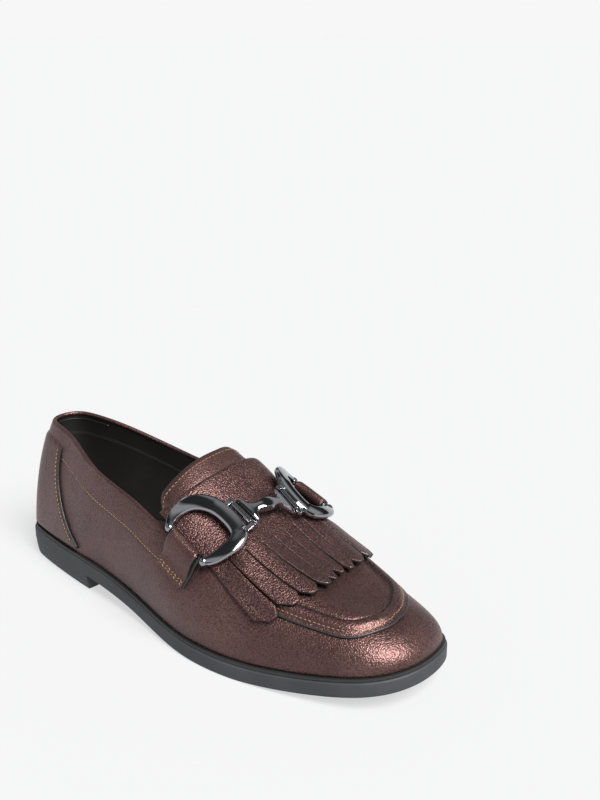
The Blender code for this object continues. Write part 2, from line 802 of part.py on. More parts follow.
def build_ring(side_name, finish, group, cutters):
    plane = ring_plane(HOLDS[side_name])
    places = ring_path(plane.width)
    path = np.array([on_ring(plane, *place) for place in places])
    rings = []
    for place, share, along in zip(places, np.linspace(-1, 1, len(places)), np.gradient(path, axis=0)):
        centre, _, _, out = ring_frame(plane, *place)
        wide = unit(np.cross(out, along))
        band = RING_BAND * (1 - (1 - RING_TIP) * abs(share) ** 3)
        rings.append(bevelled_ring(centre, wide, out, band / 2, RING_THICKNESS / 2))
    made = add_loft("ring_" + side_name, rings, finish, group)
    hinge, up, toe, out = ring_frame(plane, plane.width, 0)
    turned = Matrix([up, toe, out]).transposed().to_4x4()
    reach = LUG_REACH + HINGE_RADIUS * 2
    sizes = Matrix.Diagonal((reach, LUG_LENGTH, HINGE_RADIUS * 2, 1))
    for end in (-1, 1):
        centre = hinge + up * (HINGE_RADIUS - reach / 2)
        centre += toe * end * (HINGE_LENGTH + LUG_LENGTH + 2 * GAP) / 2
        lug = bmesh.new()
        bmesh.ops.create_cube(lug, size=1)
        lug.transform(Matrix.Translation(Vector(centre)) @ turned @ sizes)
        bmesh.ops.recalc_face_normals(lug, faces=lug.faces)
        block = add_object("ring_lug", lug, finish, cutters)
        block.hide_render = True
        block.display_type = "WIRE"
        join = made.modifiers.new("lug", "BOOLEAN")
        join.operation = "UNION"
        join.object = block
    add_pin("tab_pin_" + side_name, plane.pin, plane.ahead, PIN_RADIUS, PIN_LENGTH, finish, group)
    add_pin("hinge_pin_" + side_name, hinge, toe, HINGE_RADIUS, HINGE_LENGTH, finish, group)
    return hinge, toe


def add_pin(name, middle, direction, radius, length, finish, group):
    pin = bmesh.new()
    bmesh.ops.create_cone(
        pin, cap_ends=True, segments=12, radius1=radius, radius2=radius, depth=length
    )
    turned = Vector(direction).to_track_quat("Z", "X").to_matrix().to_4x4()
    pin.transform(Matrix.Translation(Vector(middle)) @ turned)
    return add_object(name, pin, finish, group)


def build_bar(outer, inner, finish, group):
    # The bar's ends run along the two hinges, so its sections turn from one to the other
    (outer_hinge, outer_toe), (inner_hinge, inner_toe) = outer, inner
    across = inner_hinge - outer_hinge
    half = np.linalg.norm(across) / 2 - HINGE_RADIUS - BAR_CLEARANCE
    across = unit(across)
    middle = (inner_hinge + outer_hinge) / 2
    rings = []
    for row, side in [(row, 1) for row in BAR] + [(row, -1) for row in BAR[-2::-1]]:
        place = row.across * side
        ahead = unit(outer_toe * (1 - place) + inner_toe * (1 + place))
        up = unit(np.cross(ahead, across))
        up *= math.copysign(1, up[2])
        centre = middle + across * half * place + up * BAR_ARCH * math.cos(place * math.pi / 2)
        half_length = row.length * HINGE_LENGTH / 2
        rings.append(bevelled_ring(centre, ahead, up, half_length, row.height * RING_THICKNESS / 2))
    add_loft("bit_bar", rings, finish, group)


def build_shoe():
    for old in list(bpy.data.objects):
        bpy.data.objects.remove(old)
    shoe = bpy.data.collections.new("loafer")
    cutters = bpy.data.collections.new("cutters")
    bpy.context.scene.collection.children.link(shoe)
    bpy.context.scene.collection.children.link(cutters)
    leather = make_material("bronze_leather", (0.16, 0.085, 0.065), 0.38, 0.45)
    rubber = make_material("grey_rubber", (0.05, 0.053, 0.06), 0.6)
    edging = make_material("black_edging", (0.012, 0.012, 0.013), 0.55)
    lining = make_material("black_lining", (0.014, 0.013, 0.013), 0.7)
    metal = make_material("gunmetal", (0.27, 0.28, 0.31), 0.12, 1.0)
    build_sole(rubber, shoe)
    build_midsole(edging, shoe)
    build_insole(lining, shoe)
    build_upper(leather, shoe)
    build_counter(leather, shoe)
    build_apron(leather, shoe)
    build_tongue(leather, shoe)
    build_kiltie(leather, shoe)
    hinges = []
    for side_name in HOLDS:
        build_tab(side_name, leather, shoe)
        hinges.append(build_ring(side_name, metal, shoe, cutters))
    build_bar(*hinges, metal, shoe)


build_shoe()
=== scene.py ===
# Looks for the fringed loafer: fine leather, stitching, edges, sole and polished snaffle
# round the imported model. Everything is in metres, with the toe along -Y.
import math

import bmesh
import bpy
import numpy as np
from mathutils import Matrix, Vector


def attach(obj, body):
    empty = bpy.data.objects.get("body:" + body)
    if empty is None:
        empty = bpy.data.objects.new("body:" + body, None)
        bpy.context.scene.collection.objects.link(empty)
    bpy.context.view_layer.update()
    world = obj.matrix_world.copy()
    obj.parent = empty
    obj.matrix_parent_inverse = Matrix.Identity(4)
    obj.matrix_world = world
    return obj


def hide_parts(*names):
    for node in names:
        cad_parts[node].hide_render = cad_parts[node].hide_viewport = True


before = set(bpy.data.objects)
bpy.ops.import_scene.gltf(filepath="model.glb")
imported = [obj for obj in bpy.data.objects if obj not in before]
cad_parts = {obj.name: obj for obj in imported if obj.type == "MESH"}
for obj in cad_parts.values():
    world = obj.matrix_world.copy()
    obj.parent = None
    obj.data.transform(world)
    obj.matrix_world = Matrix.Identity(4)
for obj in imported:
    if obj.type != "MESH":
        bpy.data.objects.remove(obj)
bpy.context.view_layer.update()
scene = bpy.context.scene
pi = math.pi

# Sizes of the shoe itself, the same as the solids have
shoe = {
    "length": 0.256,
    "ballWidth": 0.088,
    "soleThickness": 0.0070,
    "soleRounding": 0.0009,
    "heelHeight": 0.0078,
    "heelLength": 0.066,
    "heelTaper": 0.0012,
    "toeSpring": 0.0110,
    "springPower": 1.65,
    "waistStart": 0.24,
    "waistEnd": 0.62,
    "ballEnd": 0.70,
    "midsoleThickness": 0.0012,
    "midsoleSetback": 0.0008,
    "insoleThickness": 0.0025,
    "insoleFit": 0.0007,
    "upperSetback": 0.0021,
    "wall": 0.0018,
    "backHeight": 0.0750,
    "instepHeight": 0.1000,
    "swell": 0.0040,
    "gap": 0.0003,
    "heelPole": 0.13,
    "toePole": 0.87,
    "collarFront": 0.575,
    "throat": 0.640,
    "ridgeBlend": 0.7,  # the climb from which a point takes the ridge's own height
    "ridgeCalm": 0.03,  # how far down each side a normal is read near the ridge
    "poleCalm": 0.06,  # the same round the ridge's two ends, in radians
    "poleFrom": (0.88, 0.98),  # the climbs over which that sets in
}

# The sole's edge: share of the length, then half widths as shares of the ball width
soleEdge = [
    (0.00, 0.000, 0.000),
    (0.03, 0.208, 0.208),
    (0.08, 0.263, 0.263),
    (0.16, 0.308, 0.308),
    (0.28, 0.356, 0.335),
    (0.42, 0.405, 0.335),
    (0.55, 0.480, 0.400),
    (0.66, 0.500, 0.485),
    (0.76, 0.457, 0.500),
    (0.86, 0.385, 0.445),
    (0.94, 0.298, 0.350),
    (0.98, 0.194, 0.245),
    (1.00, 0.000, 0.000),
]

# The last: share of the length, ridge height, ridge drift, squareness and swell by side
lastShape = [
    (0.00, 0.900, 0.00, 1.85, 1.85, -0.10, -0.10),
    (0.13, 0.960, 0.00, 1.85, 1.85, -0.10, -0.10),
    (0.28, 0.970, 0.02, 2.30, 2.30, 0.50, 0.60),
    (0.42, 0.900, 0.06, 2.50, 2.65, 0.85, 1.20),
    (0.50, 0.800, 0.07, 2.50, 2.70, 0.85, 1.30),
    (0.60, 0.620, 0.06, 2.30, 2.50, 0.60, 1.00),
    (0.70, 0.470, 0.03, 2.20, 2.25, 0.40, 0.50),
    (0.80, 0.385, 0.01, 2.15, 2.15, 0.30, 0.20),
    (0.87, 0.345, 0.00, 2.15, 2.15, 0.20, 0.00),
    (1.00, 0.300, 0.00, 2.15, 2.15, 0.20, 0.00),
]

# The topline's height on either side as a share of the height at the back
topline = [
    (0.00, 1.000, 1.000),
    (0.06, 0.995, 0.995),
    (0.15, 0.955, 0.955),
    (0.28, 0.865, 0.850),
    (0.42, 0.793, 0.780),
    (0.54, 0.705, 0.735),
    (0.65, 0.670, 0.700),
]


def spline(table, column, x):
    # Natural cubic through one column of a table, against its first column
    values = np.array(table, float)
    return splineThrough(values[:, 0], values[:, column], x)


def splineThrough(xs, ys, x):
    count = len(xs)
    step = np.diff(xs)
    system = np.eye(count)
    slope = np.zeros(count)
    for i in range(1, count - 1):
        system[i, i - 1 : i + 2] = step[i - 1], 2 * (step[i - 1] + step[i]), step[i]
        slope[i] = 6 * ((ys[i + 1] - ys[i]) / step[i] - (ys[i] - ys[i - 1]) / step[i - 1])
    bend = np.linalg.solve(system, slope)
    x = np.clip(x, xs[0], xs[-1])
    i = np.clip(np.searchsorted(xs, x) - 1, 0, count - 2)
    before = x - xs[i]
    after = xs[i + 1] - x
    width = step[i]
    cubic = (bend[i] * after**3 + bend[i + 1] * before**3) / (6 * width)
    line = (ys[i] / width - bend[i] * width / 6) * after
    return cubic + line + (ys[i + 1] / width - bend[i + 1] * width / 6) * before


def shareAt(angle):
    return (1 - np.cos(angle)) / 2


def angleAt(share):
    return np.arccos(1 - 2 * np.clip(share, 0, 1))


def smoothStep(t):
    t = np.clip(t, 0, 1)
    return t * t * (3 - 2 * t)


def between(value, low, high):
    return smoothStep((value - low) / (high - low))


def bump(t, centre, reach):
    # A soft hump, 1 at its centre and 0 past its reach
    return smoothStep(1 - np.abs(t - centre) / reach)


def alongY(share):
    return shoe["length"] * (0.5 - share)


def shareOf(y):
    return 0.5 - y / shoe["length"]


def bySide(table, angle):
    # A table's outer or inner column at an angle round the shoe
    share, outer, inner = np.array(table, float).T
    mirrored = np.arccos(np.clip(np.cos(angle), -1, 1))
    outer = splineThrough(angleAt(share), outer, mirrored)
    inner = splineThrough(angleAt(share), inner, mirrored)
    return np.where(np.sin(angle) >= 0, outer, inner)


def rawEdge(angle):
    side = np.where(np.sin(angle) >= 0, -1, 1)
    return np.stack([side * shoe["ballWidth"] * bySide(soleEdge, angle), alongY(shareAt(angle))], -1)


wholeTurn = rawEdge(np.linspace(0, 2 * pi, 721))[:, 0]
centreX = (wholeTurn.max() + wholeTurn.min()) / 2


def inward(angle):
    step = 1e-3
    tangent = rawEdge(angle + step) - rawEdge(angle - step)
    tangent /= np.linalg.norm(tangent, axis=-1, keepdims=True)
    return np.stack([-tangent[..., 1], tangent[..., 0]], -1)


def edgePoint(angle, setback):
    return rawEdge(angle) - [centreX, 0] + inward(angle) * setback


def soleUnder(share):
    heel = smoothStep((shoe["waistEnd"] - share) / (shoe["waistEnd"] - shoe["waistStart"]))
    toe = np.clip((share - shoe["ballEnd"]) / (1 - shoe["ballEnd"]), 0, 1) ** shoe["springPower"]
    return shoe["heelHeight"] * heel + shoe["toeSpring"] * toe


def soleTop(share):
    return soleUnder(share) + shoe["soleThickness"]


def midsoleTop(share):
    return soleTop(share) + shoe["gap"] + shoe["midsoleThickness"]


def upperFoot(share):
    return midsoleTop(share) + shoe["gap"]


def ridgeX(share):
    return shoe["ballWidth"] * spline(lastShape, 2, share)


def ridgeHeight(share):
    return shoe["instepHeight"] * spline(lastShape, 1, share)


def ridgeAngle(share):
    # The angle round the shoe whose side meets the ridge at this share
    return angleAt((share - shoe["heelPole"]) / (shoe["toePole"] - shoe["heelPole"]))


def lastAt(angle):
    # Round the shoe: the share, the skin's foot and its height, the ridge's share and height
    share = shareAt(angle)
    ridgeShare = shoe["heelPole"] + (shoe["toePole"] - shoe["heelPole"]) * share
    foot = edgePoint(angle, shoe["upperSetback"])
    return share, foot, upperFoot(shareOf(foot[..., 1])), ridgeShare, ridgeHeight(ridgeShare)


def sideMix(column, share, angle):
    # The last's outer column and the inner one beside it, blended at the heel and toe
    mix = smoothStep(0.5 + np.sin(angle))
    return spline(lastShape, column, share) * mix + spline(lastShape, column + 1, share) * (1 - mix)


def bareSkin(angle, climb):
    # The last's surface, from the sole's edge (climb 0) to the ridge (climb 1)
    share, foot, footZ, ridgeShare, ridgeZ = lastAt(angle)
    ridge = np.stack([ridgeX(ridgeShare), alongY(ridgeShare)], -1)
    square = sideMix(3, share, angle)
    swell = sideMix(5, share, angle)
    turn = np.clip(climb, 0, 1) * pi / 2
    lean = 1 - np.cos(turn).clip(0) ** (2 / square)
    rise = np.sin(turn).clip(0) ** (2 / square)
    plan = foot + (ridge - foot) * lean[..., None]
    plan -= inward(angle) * (shoe["swell"] * swell * np.sin(pi * rise**0.8))[..., None]
    # Near the ridge a point takes the ridge's height at its own place, so that the two
    # sides meet without a crease
    own = (ridgeHeight(shareOf(plan[..., 1])) - ridgeZ) * between(climb, shoe["ridgeBlend"], 1)
    z = footZ + (ridgeZ - footZ) * rise + own
    return np.concatenate([plan, z[..., None]], -1)


def folded(angle, climb):
    over = climb > 1
    return np.where(over, 2 * pi - angle, angle), np.where(over, 2 - climb, climb)


def unit(vector):
    return vector / np.linalg.norm(vector, axis=-1, keepdims=True)


def runOf(path):
    # How far along a path each of its points lies
    return np.concatenate([[0], np.linalg.norm(np.diff(path, axis=0), axis=1).cumsum()])


def sideNormal(angle, climb):
    step = 2e-3
    along = bareSkin(angle + step, climb) - bareSkin(angle - step, climb)
    upwards = bareSkin(angle, climb + step) - bareSkin(angle, np.maximum(climb - step, 0))
    return unit(np.cross(along, upwards))


def skinNormal(angle, climb):
    # Near the ridge and its ends, where the two sides meet, the normal is read from a
    # little way down each side and blended, so that what lies there stays smooth
    angle, climb = np.broadcast_arrays(*folded(angle, climb))
    near = 1e-4 + shoe["poleCalm"] * between(climb, *shoe["poleFrom"])
    outerTurn = np.where(np.sin(angle) >= 0, angle, 2 * pi - angle)
    lean = np.where(np.sin(angle) >= 0, 1.0, -1.0)
    atPole = np.abs(np.sin(angle)) < near
    lean = np.where(atPole, np.clip(np.sin(angle) / near, -1, 1), lean)
    outerTurn = np.where(atPole, np.where(np.cos(angle) < 0, pi - near, near), outerTurn)
    low = np.minimum(climb, 1 - shoe["ridgeCalm"])
    lean = lean * (1 - np.clip((climb - low) / shoe["ridgeCalm"], 0, 1))
    weight = (1 + lean[..., None]) / 2
    outer, inner = sideNormal(outerTurn, low), sideNormal(2 * pi - outerTurn, low)
    return unit(outer * weight + inner * (1 - weight))


def skin(angle, climb, lift=0.0):
    # A point of the last's surface, lifted off it along its normal
    angle, climb, lift = np.broadcast_arrays(
        np.asarray(angle, float), np.asarray(climb, float), np.asarray(lift, float)
    )
    return bareSkin(*folded(angle, climb)) + skinNormal(angle, climb) * lift[..., None]


def onSkin(angle, climb, lift):
    # Lifted points of the surface, with its normals there
    return skin(angle, climb, lift), skinNormal(angle, climb)


def toplineClimb(angle):
    share, _, footZ, _, ridgeZ = lastAt(angle)
    height = shoe["backHeight"] * bySide(topline, angle)
    rise = np.clip((height - footZ) / (ridgeZ - footZ), 0.02, 1)
    return np.arcsin(rise ** (sideMix(3, share, angle) / 2)) / (pi / 2)


def collarClimb(angle):
    closing = between(shareAt(angle), shoe["collarFront"], shoe["throat"])
    low = toplineClimb(angle)
    return np.where(closing >= 1, 1.0, low + (1 - low) * closing)


# Across the instep: how far up the side a point lies for its distance from the ridge
saddleGrid = {"from": 0.44, "to": 0.86, "columns": 169, "reach": 0.064, "steps": 129, "climbs": 181}


def saddleColumns(side):
    climbs = np.linspace(1, 0, saddleGrid["climbs"])
    wanted = np.linspace(0, saddleGrid["reach"], saddleGrid["steps"])
    table = []
    for along in np.linspace(saddleGrid["from"], saddleGrid["to"], saddleGrid["columns"]):
        angle = ridgeAngle(along) if side < 0 else 2 * pi - ridgeAngle(along)
        table.append(np.interp(wanted, runOf(bareSkin(np.full(climbs.shape, angle), climbs)), climbs))
    return np.array(table)


climbTables = {side: saddleColumns(side) for side in (-1, 1)}


def saddlePlace(along, across):
    # Angle and climb of a point given by its share along the ridge and metres across
    along, across = np.broadcast_arrays(np.asarray(along, float), np.asarray(across, float))
    offset = across - ridgeX(along)
    columns, steps = saddleGrid["columns"] - 1, saddleGrid["steps"] - 1
    column = (along - saddleGrid["from"]) / (saddleGrid["to"] - saddleGrid["from"])
    column = np.clip(column * columns, 0, columns - 0.001)
    row = np.clip(np.abs(offset) / saddleGrid["reach"] * steps, 0, steps - 0.001)
    i, j = column.astype(int), row.astype(int)
    u, v = column - i, row - j
    climb = np.zeros(along.shape)
    for side, table in climbTables.items():
        near = table[i, j] * (1 - v) + table[i, j + 1] * v
        far = table[i + 1, j] * (1 - v) + table[i + 1, j + 1] * v
        climb = np.where(np.sign(offset) * side >= 0, near * (1 - u) + far * u, climb)
    angle = ridgeAngle(along)
    return np.where(offset < 0, angle, 2 * pi - angle), climb


def saddle(along, across, lift):
    return skin(*saddlePlace(along, across), lift)


def onSaddle(along, across, lift):
    return onSkin(*saddlePlace(along, across), lift)


# Finishes
leather = {
    "dark": (0.098, 0.052, 0.050),
    "light": (0.150, 0.084, 0.078),
    "groove": (0.024, 0.011, 0.011),
    "grooveShade": 0.55,
    "metallic": 0.84,
    "roughness": (0.34, 0.46),
    "cloudScale": 38.0,
    "fleckScale": 2600.0,
    "grainScale": 1350.0,
    "grainDepth": 0.00019,
    "grainWarp": 0.0007,
    "grainRound": 0.55,
    "creaseScale": 420.0,
    "creaseDepth": 0.00013,
    "sheen": 0.03,
    "sheenRoughness": 0.45,
    "sheenTint": (0.62, 0.60, 0.72),
}
# The plain finishes: colour, roughness from and to, scale and depth of the grain
finishes = {
    # Black edge paint, also used as painted shade in the apron's needle holes and along the fringe's widened
    # cut edges
    "edgePaintAndShade": ((0.010, 0.011, 0.012), (0.38, 0.55), 900.0, 0.00004),
    "lining": ((0.011, 0.010, 0.010), (0.45, 0.65), 1100.0, 0.00005),
    "soleRubber": ((0.022, 0.024, 0.029), (0.60, 0.72), 1500.0, 0.00003),
    "midsoleRubber": ((0.012, 0.012, 0.013), (0.45, 0.60), 1500.0, 0.00003),
    "goldThread": ((0.17, 0.10, 0.056), (0.45, 0.65), 3500.0, 0.00008),
}
plainCloud = {"scale": 55.0, "dark": 0.82, "light": 1.22}  # soft changes of the plain colours
metal = {"colour": (0.29, 0.295, 0.32), "roughness": (0.05, 0.10), "scale": 260.0}


def newMaterial(name):
    made = bpy.data.materials.new(name)
    made.use_nodes = True
    return made, made.node_tree, made.node_tree.nodes["Principled BSDF"]


def addNode(tree, kind, **values):
    node = tree.nodes.new(kind)
    for key, value in values.items():
        if key.startswith("in_"):
            node.inputs[key[3:].replace("_", " ")].default_value = value
        else:
            setattr(node, key, value)
    return node


def colourRamp(tree, factor, stops):
    ramp = tree.nodes.new("ShaderNodeValToRGB")
    tree.links.new(factor, ramp.inputs["Fac"])
    for n, (place, colour) in enumerate(stops):
        stop = ramp.color_ramp.elements[n] if n < 2 else ramp.color_ramp.elements.new(place)
        stop.position = place
        stop.color = (*colour, 1)
    return ramp.outputs["Color"]


def mapRange(tree, value, low, high):
    node = addNode(tree, "ShaderNodeMapRange", in_To_Min=low, in_To_Max=high)
    tree.links.new(value, node.inputs["Value"])
    return node.outputs["Result"]


def objectNoise(tree, place, scale, detail, **values):
    node = addNode(tree, "ShaderNodeTexNoise", in_Scale=scale, in_Detail=detail, **values)
    tree.links.new(place, node.inputs["Vector"])
    return node.outputs


def relief(tree, height, depth):
    node = addNode(tree, "ShaderNodeBump", in_Distance=depth)
    tree.links.new(height, node.inputs["Height"])
    return node


def bronzeLeather(name, grain=1.0, tone=1.0):
    # Metallised calf: pebbled grain, darker in the grooves, cloudy in colour
    made, tree, shader = newMaterial(name)
    place = addNode(tree, "ShaderNodeTexCoord").outputs["Object"]
    cloud = objectNoise(tree, place, leather["cloudScale"], 4.0, in_Roughness=0.6)
    warp = objectNoise(tree, place, leather["grainScale"] * 0.7, 2.0)
    fleck = objectNoise(tree, place, leather["fleckScale"], 2.0)
    crease = objectNoise(tree, place, leather["creaseScale"], 3.0, in_Distortion=0.8)
    shift = addNode(tree, "ShaderNodeVectorMath", operation="MULTIPLY_ADD")
    shift.inputs[1].default_value = (leather["grainWarp"],) * 3
    tree.links.new(warp["Color"], shift.inputs[0])
    tree.links.new(place, shift.inputs[2])
    pebble = addNode(tree, "ShaderNodeTexVoronoi", feature="SMOOTH_F1", in_Scale=leather["grainScale"])
    pebble.inputs["Smoothness"].default_value = leather["grainRound"]
    tree.links.new(shift.outputs[0], pebble.inputs["Vector"])
    hollow = mapRange(tree, pebble.outputs["Distance"], 1.0, 0.0)
    dark, light = [[channel * tone for channel in leather[shade]] for shade in ("dark", "light")]
    body = colourRamp(tree, cloud["Fac"], [(0.30, dark), (0.72, light)])
    groove = addNode(tree, "ShaderNodeMix", data_type="RGBA", blend_type="MIX")
    depth = addNode(tree, "ShaderNodeMapRange", in_From_Min=0.25, in_From_Max=0.75, in_To_Max=0.0)
    depth.inputs["To Min"].default_value = leather["grooveShade"] * grain
    tree.links.new(hollow, depth.inputs["Value"])
    tree.links.new(depth.outputs["Result"], groove.inputs["Factor"])
    tree.links.new(body, groove.inputs["A"])
    groove.inputs["B"].default_value = (*leather["groove"], 1)
    tree.links.new(groove.outputs["Result"], shader.inputs["Base Color"])
    tree.links.new(mapRange(tree, fleck["Fac"], *leather["roughness"]), shader.inputs["Roughness"])
    fine = relief(tree, hollow, leather["grainDepth"] * grain)
    soft = relief(tree, crease["Fac"], leather["creaseDepth"] * grain)
    tree.links.new(fine.outputs["Normal"], soft.inputs["Normal"])
    tree.links.new(soft.outputs["Normal"], shader.inputs["Normal"])
    shader.inputs["Metallic"].default_value = leather["metallic"]
    shader.inputs["Sheen Weight"].default_value = leather["sheen"]
    shader.inputs["Sheen Roughness"].default_value = leather["sheenRoughness"]
    shader.inputs["Sheen Tint"].default_value = (*leather["sheenTint"], 1)
    return made


def plainFinish(name):
    colour, roughness, scale, depth = finishes[name]
    made, tree, shader = newMaterial(name)
    place = addNode(tree, "ShaderNodeTexCoord").outputs["Object"]
    grain = objectNoise(tree, place, scale, 3.0)["Fac"]
    cloud = objectNoise(tree, place, plainCloud["scale"], 3.0)["Fac"]
    dark, light = [[channel * plainCloud[shade] for channel in colour] for shade in ("dark", "light")]
    tree.links.new(colourRamp(tree, cloud, [(0.3, dark), (0.7, light)]), shader.inputs["Base Color"])
    tree.links.new(mapRange(tree, grain, *roughness), shader.inputs["Roughness"])
    tree.links.new(relief(tree, grain, depth).outputs["Normal"], shader.inputs["Normal"])
    return made


def gunmetalFinish():
    made, tree, shader = newMaterial("gunmetal")
    place = addNode(tree, "ShaderNodeTexCoord").outputs["Object"]
    noise = objectNoise(tree, place, metal["scale"], 4.0)["Fac"]
    tree.links.new(mapRange(tree, noise, *metal["roughness"]), shader.inputs["Roughness"])
    shader.inputs["Base Color"].default_value = (*metal["colour"], 1)
    shader.inputs["Metallic"].default_value = 1.0
    return made


materials = {
    "leather": bronzeLeather("bronzeLeather"),
    "grained": bronzeLeather("bronzeLeatherGrained", grain=1.35),
    "strap": bronzeLeather("bronzeLeatherStrap", grain=0.8, tone=0.92),
    "metal": gunmetalFinish(),
}
for finishName in finishes:
    materials[finishName] = plainFinish(finishName)
print("materials made")


# Mesh helpers
def finishPiece(name, mesh, slots, replaced=None):
    mesh.shade_smooth()
    for material in slots:
        mesh.materials.append(materials[material])
    made = bpy.data.objects.new(name, mesh)
    scene.collection.objects.link(made)
    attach(made, "root")
    if replaced:
        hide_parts(replaced)
    return made


def gridOf(columns, rows):
    return np.meshgrid(columns, rows, indexing="ij")


def sheetPiece(name, grid, thickness, slots, replaced, loop=False, skip=None):
    # Leather from a grid of points on its outer face: slots are face, back and cut edge
    columns, rows = grid.shape[:2]
    index = np.arange(columns * rows).reshape(columns, rows)
    here = index if loop else index[:-1]
    after = np.roll(index, -1, axis=0) if loop else index[1:]
    faces = np.stack([here[:, :-1], after[:, :-1], after[:, 1:], here[:, 1:]], -1)
    if skip is not None:
        faces = faces[~skip]
    mesh = bpy.data.meshes.new(name)
    mesh.from_pydata(grid.reshape(-1, 3).tolist(), [], faces.reshape(-1, 4).tolist())
    bm = bmesh.new()
    bm.from_mesh(mesh)
    bmesh.ops.delete(bm, geom=[v for v in bm.verts if not v.link_faces], context="VERTS")
    bmesh.ops.remove_doubles(bm, verts=bm.verts, dist=2e-5)
    bmesh.ops.dissolve_degenerate(bm, edges=bm.edges, dist=1e-6)
    bm.to_mesh(mesh)
    bm.free()
    solid = finishPiece(name, mesh, slots, replaced).modifiers.new("thickness", "SOLIDIFY")
    solid.thickness = thickness
    solid.offset = -1
    solid.use_even_offset = False
    solid.material_offset = 1
    solid.material_offset_rim = 2


def meshFrom(name, points, faces, outward=True):
    mesh = bpy.data.meshes.new(name)
    mesh.from_pydata(np.asarray(points).tolist(), [], faces)
    if outward:
        bm = bmesh.new()
        bm.from_mesh(mesh)
        bmesh.ops.recalc_face_normals(bm, faces=bm.faces)
        bm.to_mesh(mesh)
        bm.free()
    return mesh


def circle(count):
    return np.linspace(0, 2 * pi, count, endpoint=False)


def bandFaces(size, low, high):
    # The faces between two closed rings of points, given by their first points
    return [(low + i, low + (i + 1) % size, high + (i + 1) % size, high + i) for i in range(size)]


def loftMesh(name, rings):
    # A skin through closed rings of points, capped at both ends
    count, size = len(rings), len(rings[0])
    faces = []
    for n in range(count - 1):
        faces += bandFaces(size, n * size, (n + 1) * size)
    faces.append(tuple(range(size)))
    faces.append(tuple(range((count - 1) * size, count * size)))
    return meshFrom(name, np.concatenate(rings), faces)


def pointsAt(wanted, run, path):
    return np.stack([np.interp(wanted, run, path[:, axis]) for axis in range(3)], -1)


def tubePiece(name, path, normals, radius, finish, sides=10):
    tangent = unit(np.gradient(path, axis=0))
    sideways = unit(np.cross(tangent, normals))
    up = np.cross(sideways, tangent)
    across, rise = np.cos(circle(sides))[:, None], np.sin(circle(sides))[:, None]
    rings = [path[n] + radius * (across * sideways[n] + rise * up[n]) for n in range(len(path))]
    finishPiece(name, loftMesh(name, rings), [finish], None)


stitch = {
    "length": 0.0015,
    "space": 0.0007,
    "radius": 0.00024,
    "sink": 0.00003,
    "arch": 0.00012,
    "sides": 6,
    # Places along a stitch, and how full it is there
    "profile": [(-0.5, 0.15), (-0.44, 0.75), (-0.2, 1.0), (0.2, 1.0), (0.44, 0.75), (0.5, 0.15)],
}


def stitchRows(name, rows, lean=0.0):
    # Each row is a path on the leather with its normals, sewn with small bowed capsules
    # that lean to one side and the other in turn
    points, faces = [], []
    sides, length = stitch["sides"], stitch["length"]
    pitch = length + stitch["space"]
    for path, normals in rows:
        run = runOf(path)
        for n, centre in enumerate(np.arange(pitch / 2, run[-1], pitch)):
            spots = [centre - length / 4, centre, centre + length / 4]
            before, middle, after = pointsAt(spots, run, path)
            normal = unit(pointsAt(centre, run, normals))
            ahead = unit(after - before)
            ahead = unit(ahead + np.cross(normal, ahead) * lean * (-1) ** n)
            sideways = np.cross(normal, ahead)
            for place, width in stitch["profile"]:
                lift = stitch["arch"] * (1 - (2 * place) ** 2) - stitch["sink"]
                core = middle + ahead * place * length + normal * lift
                if place > stitch["profile"][0][0]:
                    faces += bandFaces(sides, len(points) - sides, len(points))
                else:
                    faces.append(tuple(range(len(points), len(points) + sides))[::-1])
                for turn in circle(sides):
                    offset = sideways * math.cos(turn) + normal * math.sin(turn)
                    points.append(core + offset * stitch["radius"] * width)
            faces.append(tuple(range(len(points) - sides, len(points))))
    finishPiece(name, meshFrom(name, points, faces), ["goldThread"])


# Upper: quarters, vamp and toe in one shell, with a turned collar edge
upper = {
    "sideColumns": (84, 30, 76),
    "rows": 76,
    "collarEdge": 0.00105,
    "edgeEnd": 0.01,  # how far short of the throat the collar's turned edge stops, in radians
    "edgeColumns": 170,
    "bandDepth": 0.0125,
    "bandProud": 0.00035,
    "bandSlope": 0.0006,
    "bandFade": (0.545, 0.565),  # shares along the shoe over which the band dies out
    "seamDepth": 0.00012,
    "seamWidth": 0.0007,
    "creaseInner": 0.7,  # how strong the creases are on the inner side
}
# Soft creases, listed one by one: where along and how far up, how tall and wide each is, how
# it leans, and its depth in metres (below zero for a ridge)
upperCreases = [
    {"along": 0.590, "climb": 0.560, "tall": 0.27, "wide": 0.0600 / 3, "lean": 0.18, "depth": 0.00050},
    {"along": 0.628, "climb": 0.480, "tall": 0.24, "wide": 0.0550 / 3, "lean": 0.14, "depth": 0.00040},
    {"along": 0.610, "climb": 0.520, "tall": 0.252, "wide": 0.0500 / 3, "lean": 0.16, "depth": -0.00035},
    {"along": 0.520, "climb": 0.700, "tall": 0.21, "wide": 0.0800 / 3, "lean": 0.08, "depth": 0.00045},
    {"along": 0.300, "climb": 0.300, "tall": 0.54, "wide": 0.1200 / 3, "lean": 0.02, "depth": 0.00040},
]


def upperTurn():
    stops = [0, angleAt(shoe["collarFront"]), angleAt(shoe["throat"]), pi]
    spans = zip(stops[:-1], stops[1:], upper["sideColumns"])
    side = np.concatenate([np.linspace(start, end, count, endpoint=False) for start, end, count in spans])
    return np.concatenate([side, [pi], 2 * pi - side[:0:-1]])


def creaseLift(angle, climb):
    share, lift = shareAt(angle), 0
    strength = np.where(np.sin(angle) >= 0, 1, upper["creaseInner"])
    for fold in upperCreases:
        up = climb - fold["climb"]
        across = share - fold["along"] - fold["lean"] * up
        lift = lift - np.exp(-((across / fold["wide"]) ** 2)) * bump(up, 0, fold["tall"]) * fold["depth"]
    return lift * strength


